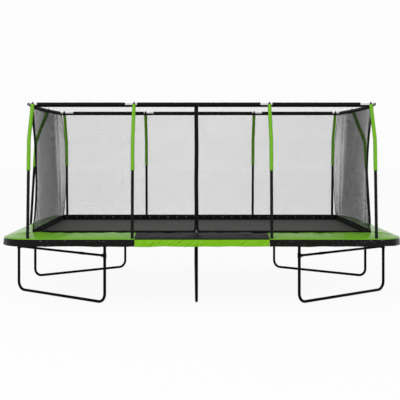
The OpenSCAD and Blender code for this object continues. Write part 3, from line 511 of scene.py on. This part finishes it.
# %% Skirts
def skirt_surface(outline, s, seed, corner):
    t = np.linspace(0, 1, 14)
    p, n = outline(s[:, None], 0 * t[None, :])
    flat = np.stack([s[:, None] + 0 * t, t[None, :] * SKIRT_H + 0 * s[:, None], 0 * p[..., 0]], -1)
    slant = np.stack([flat[..., 0] + 0.9 * flat[..., 1], 0.3 * flat[..., 1], flat[..., 2]], -1)
    folds = ripples(seed, 0.062)(slant)
    slow = ripples(seed + 1, 0.4)(flat)
    crease = 1 - 2 * np.abs(ripples(seed + 2, 0.11)(flat * [1.0, 1.2, 0]))
    calm = 0.35 + 0.65 * smoothstep(0.5 + 1.2 * ripples(seed + 3, 0.9)(flat * [1.0, 0.0, 0]))
    out = (0.0065 + calm * (0.0074 * folds + 0.0034 * crease) + 0.002 * slow) * smoothstep(t * 2.2)
    if corner:
        y_here = p[..., 1]
        away = (y_here - POLE_SIDE_Y) / 0.055
        at_side = p[..., 0] > PAD_X - 0.01
        out = out + np.where(at_side, 0.037 * np.exp(-(away**2)), 0)
    p = p + n * (out + 0.001)[..., None]
    drop = SKIRT_H * t + 0.003 * slow * t**2
    p[..., 2] = PAD_LOW + 0.004 - drop
    return p, n


def skirt(name, grid_n, sx, sy, look, node):
    grid, n = grid_n
    grid = mirrored(grid, sx, sy)
    back = mirrored(-0.0014 * n, sx, sy)
    o = shell(name, grid, back, look)
    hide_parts(node)
    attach(o, "frame")
    return o


for k, (label, (sx, sy)) in enumerate(QUARTERS.items()):
    s = np.linspace(0.001, END_LENGTH, 520)
    o = skirt("skirt_cloth_" + label, skirt_surface(outline_end, s, 110 + 5 * k, sy > 0), sx, sy,
              black_skirt, "skirt_" + label)
for k, (label, sy) in enumerate((("front", -1), ("rear", 1))):
    s = np.linspace(-PAD_MIDDLE + 0.001, PAD_MIDDLE - 0.001, 340)
    o = skirt("skirt_cloth_%s_middle" % label, skirt_surface(outline_middle, s, 150 + 5 * k, False), 1, sy,
              lime_skirt, "skirt_%s_middle" % label)
print("skirts: 6")

# %% [markdown]
# ## Piping and seams
# Where pad and skirt meet, the real cover has a welt, a thin sewn cord. It is swept by the thread tree,
# and the stitch tree lays a row of stitches just above it.


# %% Welts and stitches
WELT_R, WELT_INSET, WELT_UP = 0.0032, -0.0016, 0.003
SEAM_INSET, SEAM_UP = 0.016, 0.0128


def seam_line(outline, s, inset, z):
    p = outline(s, np.full_like(s, inset))[0].copy()
    p[:, 2] = z
    return p


def seams_of(label, outline, s, sx, sy, look):
    def place(line):
        return line * [sx, sy, 1]

    line = place(seam_line(outline, s, WELT_INSET, PAD_LOW + WELT_UP))
    welt = thread("welt_" + label, [line], WELT_R, look, sides=6)
    welt.data.polygons.foreach_set("use_smooth", [True] * len(welt.data.polygons))
    rows = [place(seam_line(outline, s, SEAM_INSET, PAD_LOW + SEAM_UP))]
    sewn = stitches("pad_stitches_" + label, rows, dark_thread if look is black_pad else green_thread,
                    pitch=0.011, length=0.007, radius=0.0009)
    for o in (welt, sewn):
        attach(o, "frame")


green_thread = finish_of("green thread", (70, 122, 14), rough=0.6)
for label, (sx, sy) in QUARTERS.items():
    seams_of(label, outline_end, np.linspace(0.004, END_LENGTH - 0.004, 160), sx, sy, green_pad)
for label, sy in (("front_middle", -1), ("rear_middle", 1)):
    seams_of(label, outline_middle, np.linspace(-PAD_MIDDLE + 0.004, PAD_MIDDLE - 0.004, 60), 1, sy,
             black_pad)
print("welts: 6")

# %% [markdown]
# ## Poles and ring: foam sleeves
# Each pole leans, bends at its knee and leans further to the ring. One function gives that line, and the
# sleeves are swept along it with small dents and creases in the foam.


# %% Pole lines
PATH_STEP, RING_GAP = 0.012, 0.0123


def pole_line(reach, from_z):
    """Points of a pole's centre line in its own plane: inward distance and height."""
    knee_in = (KNEE_Z - POLE_FOOT_Z) * math.tan(POLE_LEAN)
    upper = math.atan((reach - knee_in) / (RING_Z - KNEE_Z))
    turn = upper - POLE_LEAN
    cut = KNEE_R * math.tan(turn / 2)
    low_dir = np.array([math.sin(POLE_LEAN), math.cos(POLE_LEAN)])
    up_dir = np.array([math.sin(upper), math.cos(upper)])
    foot = np.array([0.0, POLE_FOOT_Z])
    knee = foot + low_dir * (KNEE_Z - POLE_FOOT_Z) / math.cos(POLE_LEAN)
    start = foot + low_dir * (from_z - POLE_FOOT_Z) / math.cos(POLE_LEAN)
    a, b = knee - low_dir * cut, knee + up_dir * cut
    end = knee + up_dir * ((RING_Z - KNEE_Z) / math.cos(upper) - RING_GAP)
    centre = a + KNEE_R * np.array([math.cos(POLE_LEAN), -math.sin(POLE_LEAN)])
    turns = np.linspace(0, turn, 9)[1:-1] + POLE_LEAN
    bend = centre + KNEE_R * np.stack([-np.cos(turns), np.sin(turns)], -1)
    n_low, n_up = (max(2, int(np.linalg.norm(way) / PATH_STEP)) for way in (a - start, end - b))
    first = start + (a - start) * np.linspace(0, 1, n_low)[:, None]
    last = b + (end - b) * np.linspace(0, 1, n_up)[:, None]
    return np.vstack([first, bend, last])


def straight_line(from_z, to_z):
    z = np.linspace(from_z, to_z, int((to_z - from_z) / PATH_STEP))
    return np.stack([(z - POLE_FOOT_Z) * math.tan(POLE_LEAN), z], -1)


FOOT_OUT = 0.048 + (RAIL_Z - POLE_FOOT_Z) * math.tan(POLE_LEAN)
LONG_REACH = RAIL_Y + FOOT_OUT - RING_Y
SIDE_REACH = RAIL_X + FOOT_OUT - float(ring_side_x(POLE_SIDE_Y))
POLES = [(np.array([x, sy * (RAIL_Y + FOOT_OUT)]), np.array([0.0, -sy]), LONG_REACH)
         for sy in (-1, 1) for x in POLE_XS]
POLES += [(np.array([sx * (RAIL_X + FOOT_OUT), POLE_SIDE_Y]), np.array([-sx, 0.0]), SIDE_REACH)
          for sx in (-1, 1)]


def to_space(line, foot, inward):
    return np.column_stack([foot[0] + inward[0] * line[:, 0], foot[1] + inward[1] * line[:, 0], line[:, 1]])


def dented(path, radius, seed, depth, sides=20):
    """Radii round a sleeve with shallow creases."""
    angle = np.linspace(0, 2 * np.pi, sides, endpoint=False)
    run = np.concatenate([[0], np.cumsum(np.linalg.norm(np.diff(path, axis=0), axis=1))])
    p = np.stack(np.broadcast_arrays(run[:, None], 0.05 * np.cos(angle)[None, :],
                                     0.05 * np.sin(angle)[None, :]), -1)
    return radius + depth * ripples(seed, 0.06)(p) + 0.4 * depth * ripples(seed + 1, 0.022)(p)


# %% Pole sleeves
GREEN_FROM, BLACK_FROM, BLACK_TO = 1.7155, 0.850, 1.7145
GREEN_R, BLACK_R, POLE_BORE = 0.0245, 0.0197, 0.0145
green_parts, black_parts = [], []
for k, (foot, inward, reach) in enumerate(POLES):
    line = to_space(pole_line(reach, GREEN_FROM), foot, inward)
    depth = 0.0030 if k == 6 else 0.0016 if 4 <= k < 8 else 0.0007
    green_parts.append(foam_tube(line, dented(line, GREEN_R, 200 + k, depth), POLE_BORE))
    line = to_space(straight_line(BLACK_FROM, BLACK_TO), foot, inward)
    black_parts.append(foam_tube(line, dented(line, BLACK_R, 240 + k, 0.0006), POLE_BORE))
o = joined("green_foam_sleeves", green_parts, green_foam)
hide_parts("green_pole_sleeves")
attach(o, "frame")
o = joined("black_foam_sleeves", black_parts, black_foam)
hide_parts("black_pole_sleeves")
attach(o, "frame")


# %% Ring sleeves
GAP, FRONT_SLIDE, REAR_SLIDE = 0.080, -0.040, 0.050
RING_SLEEVE_R, ROD_BORE, RUN_STEP = 0.0196, 0.0064, 0.02
BOW_END, BOW_GAP = 1.176, 0.031


def run_between(lo, hi):
    return np.linspace(lo, hi, max(2, int((hi - lo) / RUN_STEP)))


def straight_run(x0, x1, y):
    x = run_between(x0, x1)
    return np.stack([x, y + 0 * x, RING_Z + 0 * x], -1)


def bowed_run(y0, y1, sx):
    y = run_between(y0, y1)
    return np.stack([sx * ring_side_x(y), y, RING_Z + 0 * y], -1)


runs = []
for sy, slide in ((-1, FRONT_SLIDE), (1, REAR_SLIDE)):
    runs.append(straight_run(POLE_XS[0] + slide + 1.25 * GAP, POLE_XS[1] + slide - GAP, sy * RING_Y))
    runs.append(straight_run(POLE_XS[1] + slide + GAP, POLE_XS[2] + slide - GAP, sy * RING_Y))
    runs.append(straight_run(POLE_XS[2] + slide + GAP, POLE_XS[3] + slide - 1.25 * GAP, sy * RING_Y))
for sx in (-1, 1):
    runs.append(bowed_run(-BOW_END, POLE_SIDE_Y - BOW_GAP, sx))
    runs.append(bowed_run(POLE_SIDE_Y + BOW_GAP, BOW_END, sx))
parts = [foam_tube(r, dented(r, RING_SLEEVE_R, 300 + i, 0.0007), ROD_BORE) for i, r in enumerate(runs)]
o = joined("ring_foam_sleeves", parts, black_foam)
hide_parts("ring_sleeves")
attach(o, "frame")
print("sleeves:", len(green_parts), len(black_parts), len(parts))

# %% [markdown]
# ## Springs and V-rings
# One spring's wire is drawn once, coils and both hooks, and the copy tree sets it at every place along a
# side.


# %% Spring wire
def spring_wire_line():
    wire, outer = 0.0034, 0.013
    r = outer - wire / 2
    hook_r = 0.0062
    y0, y1 = -STAPLE_REACH - SPRING_LEN + 0.019, -STAPLE_REACH - 0.019
    turns = 29
    t = np.linspace(0, 1, turns * 11)
    taper = np.minimum(1, np.minimum(t, 1 - t) * 16 + 0.35)
    a = 2 * np.pi * turns * t
    coil = np.stack([r * taper * np.sin(a), y0 + (y1 - y0) * t, r * taper * np.cos(a)], -1)
    inner, outer_end = -STAPLE_REACH - SPRING_LEN + 0.0009, -STAPLE_REACH - 0.0012
    b = np.radians(np.linspace(300, 0, 15))
    hook_in = np.stack([0 * b, inner + hook_r * np.cos(b), hook_r * np.sin(b)], -1)
    c = np.radians(np.linspace(180, -120, 15))
    hook_out = np.stack([0 * c, outer_end + hook_r * np.cos(c), hook_r * np.sin(c)], -1)
    return np.vstack([hook_in, coil, hook_out])


def v_ring_line():
    y0 = -STAPLE_REACH - SPRING_LEN
    pts = [[-0.0075, y0, 0], [0.0075, y0, 0], [0.0178, y0 - V_RING_LEN, 0], [-0.0178, y0 - V_RING_LEN, 0],
           [-0.0075, y0, 0], [0.0, y0, 0]]
    return np.array(pts)


def places_along(half):
    count = int((2 * half - 0.080) / SPRING_PITCH) + 1
    return (np.arange(count) - (count - 1) / 2) * SPRING_PITCH


SIDES = {
    "rear": [(x, RAIL_Y, SPRING_Z) for x in places_along(BEND_X)],
    "front": [(x, -RAIL_Y, SPRING_Z) for x in places_along(BEND_X)],
    "left": [(-RAIL_X, y, SPRING_Z) for y in places_along(BEND_Y)],
    "right": [(RAIL_X, y, SPRING_Z) for y in places_along(BEND_Y)],
}
TURNS = {"rear": 0.0, "front": math.pi, "left": math.pi / 2, "right": -math.pi / 2}
spring_one = thread("spring wire", [spring_wire_line()], 0.0017, zinc, sides=6)
v_ring_one = thread("v-ring wire", [v_ring_line()], 0.0024, zinc, sides=6)
v_ring_rows = []
for label, places in SIDES.items():
    turn = (0.0, 0.0, TURNS[label])
    o = run_tree("coil_springs_" + label, places, [], COPIES, Source=spring_one, Turn=turn, Material=zinc)
    o.data.polygons.foreach_set("use_smooth", [True] * len(o.data.polygons))
    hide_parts("springs_" + label)
    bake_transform(o)
    v = run_tree("v_ring_row_" + label, places, [], COPIES, Source=v_ring_one, Turn=turn, Material=zinc)
    v_ring_rows.append(v)
bpy.data.objects.remove(spring_one)
bpy.data.objects.remove(v_ring_one)
for v in v_ring_rows:
    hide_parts("v_rings")
    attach(v, "mat")
print("springs:", sum(len(p) for p in SIDES.values()))

# %% [markdown]
# ## Mat, webbing and tabs
# The mat is a woven sheet pulled tight by the springs, so it is nearly flat, with faint ripples between
# the pulls. Webbing is sewn round its edge, and a tab at each V-ring folds over the ring's wide bar.

# %% Mat cloth
MAT_T, WEB_W, WEB_T, MAT_CORNER = 0.003, 0.050, 0.002, 0.060


def mat_outline():
    """The mat's outline with round corners, as one closed loop."""
    pts = []
    for cx, cy, a0 in ((1, 1, 0), (-1, 1, 90), (-1, -1, 180), (1, -1, 270)):
        a = np.radians(np.linspace(a0, a0 + 90, 12))
        pts.append(np.stack([cx * (MAT_X - MAT_CORNER) + MAT_CORNER * np.cos(a),
                             cy * (MAT_Y - MAT_CORNER) + MAT_CORNER * np.sin(a)], -1))
    loop = np.vstack(pts)
    out = []
    for p, q in zip(loop, np.roll(loop, -1, axis=0)):
        n = max(1, int(np.linalg.norm(q - p) / 0.05))
        out.append(p + (q - p) * np.linspace(0, 1, n, endpoint=False)[:, None])
    return np.vstack(out)


edge = mat_outline()
shares = np.concatenate([[1.0, 0.985, 0.97, 0.95], np.linspace(0.92, 0.02, 40)])
rings = np.stack([edge * f for f in shares])
wave = ripples(400, 0.5)(np.concatenate([rings, 0 * rings[..., :1]], -1)) * 0.0008
sag = -0.004 * (1 - shares[:, None] ** 2)
height = SPRING_Z + MAT_T / 2 + (wave * (1 - shares[:, None] ** 6) + sag)
top = np.concatenate([rings, height[..., None]], -1)
low = top - [0, 0, MAT_T]
rows, cols = top.shape[:2]
n = rows * cols
faces = grid_faces(rows, cols, wrap=True)
under = faces[:, ::-1] + n
i = np.arange(cols)
j = (i + 1) % cols
wall = np.stack([j, i, i + n, j + n], -1)
last = (rows - 1) * cols
all_faces = np.vstack([faces, under, wall]).tolist()
all_faces += [list(range(last, last + cols)), list(range(last + n, last + n + cols))[::-1]]
mat_sheet = add_object("mat_sheet", np.vstack([top.reshape(-1, 3), low.reshape(-1, 3)]), all_faces, mat_cloth)
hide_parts("mat")
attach(mat_sheet, "mat")
print("mat points:", 2 * n)


# %% Webbing and tabs
def loop_band(name, outer, inner, low_z, high_z, look):
    """Closed flat band between two loops of points."""
    cols = len(outer)
    levels = [np.column_stack([loop, np.full(cols, z)]) for loop, z in
              ((outer, low_z), (outer, high_z), (inner, high_z), (inner, low_z))]
    verts = np.vstack(levels)
    i = np.arange(cols)
    j = (i + 1) % cols
    faces = [np.stack([a * cols + i, a * cols + j, b * cols + j, b * cols + i], -1)
             for a, b in ((0, 1), (1, 2), (2, 3), (3, 0))]
    return add_object(name, verts, np.vstack(faces), look, smooth=False)


inner_edge = edge * [(MAT_X - WEB_W) / MAT_X, (MAT_Y - WEB_W) / MAT_Y]
web_low, web_high = SPRING_Z + MAT_T / 2 + 0.0001, SPRING_Z + MAT_T / 2 + WEB_T
web = loop_band("mat_edge_webbing", edge, inner_edge, web_low, web_high, webbing)
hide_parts("mat_webbing")
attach(web, "mat")


def tab_mesh():
    """One tab: a strip that comes off the webbing, folds round the bar and goes back under the mat."""
    bar = -(STAPLE_REACH + SPRING_LEN + V_RING_LEN)
    inside = bar - 0.0068 - 0.024
    a = np.radians(np.linspace(90, -90, 7))
    r = 0.0040
    path = [[inside, 0.0042], [inside + 0.020, 0.0042]]
    path += [[bar + r * math.cos(t), r * math.sin(t)] for t in a]
    path += [[inside + 0.020, -0.0030], [inside, -0.0030]]
    path = np.array(path)
    step = np.gradient(path, axis=0)
    step /= np.linalg.norm(step, axis=1)[:, None]
    normal = np.stack([-step[:, 1], step[:, 0]], -1)
    half = 0.011
    sections = []
    for side, thick in ((-half, 0.0), (half, 0.0), (half, 0.0014), (-half, 0.0014)):
        p = path + normal * thick
        sections.append(np.column_stack([np.full(len(p), side), p[:, 0], p[:, 1]]))
    grid = np.stack(sections, 1)
    return loop_solid("tab one", grid, webbing)


tab_one = tab_mesh()
for label, places in SIDES.items():
    o = run_tree("v_ring_tabs_" + label, places, [], COPIES, Source=tab_one, Turn=(0.0, 0.0, TURNS[label]),
                 Material=webbing)
    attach(o, "mat")
bpy.data.objects.remove(tab_one)

seams = []
for f in (0.010, 0.040):
    loop = edge * [(MAT_X - f) / MAT_X, (MAT_Y - f) / MAT_Y]
    loop = np.vstack([loop, loop[:1]])
    seams.append(np.column_stack([loop, np.full(len(loop), web_high + 0.0002)]))
o = stitches("mat_edge_stitches", seams, dark_thread, pitch=0.014, length=0.009, radius=0.0009)
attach(o, "mat")
print("mat:", 2 * MAT_X, "by", 2 * MAT_Y)

# %% [markdown]
# ## Net
# The net hangs from the ring to the mat's edge. Between its four corners the cloth is drawn in a little
# at half height. Upright and level threads are laid as lines over that surface and thickened by the tree.
# A flat cloth with a see-through finish could stand for the net, but threads keep their depth close up.


# %% Net surface
# How far the net hangs inside the ring, and how far its corners draw in along X and along Y
NET_INSIDE, DRAW_X, DRAW_Y = 0.020, 0.060, 0.012


def net_height(b):
    return NET_FOOT + (NET_TOP - NET_FOOT) * b


def net_corner(b):
    draw = 4 * b * (1 - b)
    return (NET_X + (RING_CX + RING_CORNER - NET_INSIDE - NET_X) * b - DRAW_X * draw, NET_Y - DRAW_Y * draw)


def net_front_point(u, b, side):
    """u from -1 to 1 across the whole width, b from 0 at the foot to 1 at the ring."""
    cx, cy = net_corner(b)
    pull = (NET_Y - cy) * np.abs(u) ** 6
    return np.stack(np.broadcast_arrays(u * cx, side * (NET_Y - pull), net_height(b)), -1)


def net_side_point(v, b, side):
    cx, cy = net_corner(b)
    y = v * cy
    top = ring_side_x(y) - NET_INSIDE
    straight = NET_X + (top - NET_X) * b
    pull = DRAW_X * 4 * b * (1 - b) * np.abs(v) ** 4
    return np.stack(np.broadcast_arrays(side * (straight - pull), y, net_height(b)), -1)


THREAD_PITCH, ROW_PITCH, THREAD_R, YARN_GAP = 0.007, 0.014, 0.00037, 0.001


def panel_lines(point, lo, hi, width, side):
    """Upright threads and level threads of one panel between u = lo and u = hi."""
    count = int(width * (hi - lo) / 2 / THREAD_PITCH)
    us = np.linspace(lo, hi, count)
    b_up = np.linspace(0.03, 1, 9)
    lines = [point(u, b_up, side) for u in us]
    rows = int((NET_TOP - NET_FOOT) / ROW_PITCH)
    u_row = np.linspace(lo, hi, max(8, int(count / 18)))
    lines += [point(u_row, b, side) for b in np.linspace(0.045, 0.99, rows)]
    return lines


def net_panel(label, point, lo, hi, side):
    """One panel of two layers of thread, with its flat width and height."""
    along_x = point is net_front_point
    name, width = "net_mesh_" + label, 2 * (NET_X if along_x else NET_Y)
    deep = np.array((0, YARN_GAP, 0) if along_x else (YARN_GAP, 0, 0))
    lines = panel_lines(point, lo, hi, width, side)
    lines = [line + k * deep for line in lines for k in (-0.5, 0.5)]
    o = thread(name, lines, THREAD_R, net_thread, sides=4)
    w, h = width * (hi - lo) / 2, NET_TOP - NET_FOOT
    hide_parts("net_" + label)
    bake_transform(o)
    print(name, "threads:", len(lines), "triangles:", 2 * len(o.data.polygons))
    return o, w, h


FLAP_LO = (FLAP_X - FLAP_W / 2) / NET_X
FLAP_HI = (FLAP_X + FLAP_W / 2) / NET_X
# Each panel: its surface, where it starts and ends across the width, and its side of the mat
SPANS = {
    "front_left": (net_front_point, -1, FLAP_LO, -1), "front_right": (net_front_point, FLAP_HI, 1, -1),
    "rear": (net_front_point, -1, 1, 1), "left": (net_side_point, -1, 1, -1),
    "right": (net_side_point, -1, 1, 1),
}
PANELS = {label: net_panel(label, *span) for label, span in SPANS.items()}

# %% [markdown]
# ## Hems and the door strip
# Black tape edges the net at its foot, top and corners. The door's strip covers the zip and parts into
# two tails at the foot.


# %% Tapes
THIN = 0.0016


def outwards(point, side, by):
    """A step of length by, straight out of the net's face."""
    return np.array((0, side * by, 0) if point is net_front_point else (side * by, 0, 0))


def tape(name, point, us, bs, side):
    u, b = np.meshgrid(us, bs, indexing="ij")
    o = shell(name, point(u, b, side), outwards(point, side, THIN), webbing)
    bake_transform(o)
    return o


FOOT_HEM_TOP, EYELET_Z = 0.912, 0.872
hem_b = np.linspace(0, (FOOT_HEM_TOP - NET_FOOT) / (NET_TOP - NET_FOOT), 5)
top_b = np.linspace(0.983, 1.0, 3)
corner_b = np.linspace(0.02, 0.99, 40)
stitch_b = (hem_b[-1] * 0.93, 0.985)
HEMS = {label: [] for label in PANELS}


def edge_panel(label, point, lo, hi, side):
    us, off = np.linspace(lo, hi, 60), outwards(point, side, THIN)
    HEMS[label] += [tape("foot_hem_" + label, point, us, hem_b, side),
                    tape("top_hem_" + label, point, us, top_b, side)]
    rows = [point(us, b, side) + k * off for k in (1.15, -0.15) for b in stitch_b]
    o = stitches("hem_stitches_" + label, rows, dark_thread, pitch=0.016, length=0.010, radius=0.0009)
    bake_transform(o)
    HEMS[label].append(o)


for label, span in SPANS.items():
    edge_panel(label, *span)
CORNER_ENDS = {"a": (-1, -0.997), "b": (0.997, 1)}
for label, ends in (("front_left", "a"), ("front_right", "b"), ("rear", "ab")):
    point, _, _, side = SPANS[label]
    for end in ends:
        us = np.linspace(*CORNER_ENDS[end], 3)
        HEMS[label].append(tape("corner_tape_%s_%s" % (label, end), point, us, corner_b, side))
print("hems and tapes:", sum(len(v) for v in HEMS.values()))

# %% [markdown]
# ## Eyelets in the hem
# Pressed rings in the foot hem are where the net is held down to the mat's edge. One ring is drawn, and
# the copy tree sets it at the springs' own spacing.


# %% Eyelets
def ring_mesh(name, radius, wire, look):
    turns, sides = 14, 6
    a = np.linspace(0, 2 * np.pi, turns, endpoint=False)
    b = np.linspace(0, 2 * np.pi, sides, endpoint=False)
    r = radius + wire * np.cos(b)[None, :]
    grid = np.stack(np.broadcast_arrays(r * np.cos(a)[:, None], wire * 0.8 * np.sin(b)[None, :],
                                        r * np.sin(a)[:, None]), -1)
    quads = grid_faces(turns + 1, sides, wrap=True)
    quads = np.where(quads >= turns * sides, quads - turns * sides, quads)
    return add_object(name, grid.reshape(-1, 3), quads, look)


eyelet = ring_mesh("eyelet one", 0.0065, 0.0018, zinc)
HEM_MID = (EYELET_Z - NET_FOOT) / (NET_TOP - NET_FOOT)
for label, (point, lo, hi, side) in SPANS.items():
    along_x = point is net_front_point
    us = places_along(BEND_X if along_x else BEND_Y) / (NET_X if along_x else NET_Y)
    us = us[(us > lo + 0.01) & (us < hi - 0.01)]
    spots = [point(u, HEM_MID, side) + outwards(point, side, THIN / 2) for u in us]
    turn = (0.0, 0.0, 0.0 if along_x else math.pi / 2)
    o = run_tree("hem_eyelets_" + label, spots, [], COPIES, Source=eyelet, Turn=turn, Material=zinc)
    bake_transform(o)
    HEMS[label].append(o)
bpy.data.objects.remove(eyelet)
print("hems and eyelets:", {k: len(v) for k, v in HEMS.items()})

# %% Door strip
def flap_grid():
    """The strip from the ring to the split, and its two tails."""
    y = -NET_Y - THIN
    z = np.linspace(NET_TOP, FLAP_SPLIT, 80)
    half = FLAP_W / 2
    x = np.linspace(-half, half, 5)
    sway = 0.002 * np.sin(z * 7.0)
    strip = np.stack(np.broadcast_arrays(FLAP_X + x[None, :] + sway[:, None], y, z[:, None]), -1)
    tails = []
    for side in (-1, 1):
        t = np.linspace(0, 1, 10)
        mid = side * (0.012 + 0.026 * t**1.3)
        wide = 0.0135 + 0.002 * t
        zz = FLAP_SPLIT - 0.066 * t
        xx = np.linspace(-1, 1, 3)
        tails.append(np.stack(np.broadcast_arrays(
            FLAP_X + mid[:, None] + wide[:, None] * xx[None, :], y - 0.002 * t[:, None], zz[:, None]), -1))
    return strip, tails


strip, tails = flap_grid()
thick = np.array((0, -0.002, 0))
flap = shell("door_strip", strip, thick, webbing)
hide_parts("zip_flap")
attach(flap, "frame")
for k, tail in enumerate(tails):
    o = shell("door_strip_tail_%d" % k, tail, thick, webbing)
    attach(o, "frame")
edges = [strip[:, k] + np.array((dx, -0.0023, 0)) for k, dx in ((0, 0.004), (4, -0.004))]
o = stitches("door_strip_stitches", edges, dark_thread, pitch=0.014, length=0.009, radius=0.0008)
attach(o, "frame")
x, z = np.meshgrid(np.linspace(-0.034, 0.034, 8), np.linspace(0.838, 0.885, 6), indexing="ij")
patch = np.stack([FLAP_X + x, -NET_Y - 0.0012 - 0.001 * np.cos(x * 60), z], -1)
o = shell("door_foot_patch", patch, np.array((0, -0.0016, 0)), webbing)
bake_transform(o)
print("door strip length:", round(NET_TOP - FLAP_SPLIT, 3))

# %% [markdown]
# ## The stage, the light and the camera
# A pale floor, a bright even sky and two large soft lights from the front give a clean, even look. The
# camera and the reflections see plain white, so the light on the object can stay at a plain level.

# %% Stage
def seen_rays(n, link):
    """Socket that is 1 for the rays of the camera, of reflections and of see-through surfaces."""
    path = n.new("ShaderNodeLightPath")
    out = path.outputs["Is Camera Ray"]
    for kind in ("Is Glossy Ray", "Is Transmission Ray"):
        more = n.new("ShaderNodeMath")
        more.operation = "MAXIMUM"
        link.new(out, more.inputs[0])
        link.new(path.outputs[kind], more.inputs[1])
        out = more.outputs[0]
    return out


def background_floor():
    """White floor that keeps a soft shadow: part of what the camera and reflections see is plain white."""
    m = bpy.data.materials.new("studio floor")
    m.use_nodes = True
    n, link = m.node_tree.nodes, m.node_tree.links
    bsdf = n["Principled BSDF"]
    bsdf.inputs["Base Color"].default_value = (0.9, 0.9, 0.9, 1)
    bsdf.inputs["Roughness"].default_value = 0.9
    white = n.new("ShaderNodeEmission")
    white.inputs["Strength"].default_value = 1.0
    share = n.new("ShaderNodeMath")
    share.operation = "MULTIPLY"
    share.inputs[1].default_value = WHITE_SHARE
    mix = n.new("ShaderNodeMixShader")
    link.new(seen_rays(n, link), share.inputs[0])
    link.new(share.outputs[0], mix.inputs["Fac"])
    link.new(bsdf.outputs[0], mix.inputs[1])
    link.new(white.outputs[0], mix.inputs[2])
    link.new(mix.outputs[0], n["Material Output"].inputs["Surface"])
    return m


WHITE_SHARE, SKY_LIGHT, SKY_SEEN, FLOOR_HALF = 0.93, 0.5, 0.975, 60
corners = [(x * FLOOR_HALF, y * FLOOR_HALF, 0) for x, y in ((-1, -1), (1, -1), (1, 1), (-1, 1))]
floor = add_object("floor", corners, [(0, 1, 2, 3)], background_floor(), smooth=False)
floor.location.z = -0.001

world = bpy.data.worlds.new("studio")
bpy.context.scene.world = world
world.use_nodes = True
wn, wl = world.node_tree.nodes, world.node_tree.links
mixer = wn.new("ShaderNodeMixShader")
wl.new(seen_rays(wn, wl), mixer.inputs["Fac"])
for slot, sky, strength in ((1, wn["Background"], SKY_LIGHT), (2, wn.new("ShaderNodeBackground"), SKY_SEEN)):
    sky.inputs["Color"].default_value = (1, 1, 1, 1)
    sky.inputs["Strength"].default_value = strength
    wl.new(sky.outputs["Background"], mixer.inputs[slot])
wl.new(mixer.outputs["Shader"], wn["World Output"].inputs["Surface"])


def soft_light(name, at, towards, size, power):
    data = bpy.data.lights.new(name, "AREA")
    data.shape = "DISK"
    data.size = size
    data.energy = power
    o = bpy.data.objects.new(name, data)
    o.location = at
    o.rotation_euler = (Vector(towards) - Vector(at)).to_track_quat("-Z", "Y").to_euler()
    bpy.context.scene.collection.objects.link(o)


soft_light("key", (-5.0, -8.0, 8.0), (0, 0, 1.0), 5.0, 400)
soft_light("fill", (7.0, -9.0, 4.0), (0, 0, 1.0), 4.0, 220)

# %% Camera
# The picture's width, the lens and the shift of its centre are in pixels; the rest is in metres or mm
PICTURE, FOCAL_PIXELS, SHIFT_X_PIXELS, SHIFT_Y_PIXELS = 400.0, 759.0, 7.8, -51.0
SENSOR_MM, CAMERA_AT = 36.0, (-0.1256, -11.25, 1.99)
camera = bpy.data.cameras.new("camera")
camera.sensor_width = SENSOR_MM
camera.lens = FOCAL_PIXELS / PICTURE * SENSOR_MM
camera.shift_x = SHIFT_X_PIXELS / PICTURE
camera.shift_y = SHIFT_Y_PIXELS / PICTURE
camera.clip_end = 200
cam = bpy.data.objects.new("camera", camera)
cam.location = CAMERA_AT
cam.rotation_euler = (math.pi / 2, 0, 0)
bpy.context.scene.collection.objects.link(cam)
scene = bpy.context.scene
scene.camera = cam
scene.view_settings.view_transform = "Standard"
print("lens in mm:", round(camera.lens, 2))
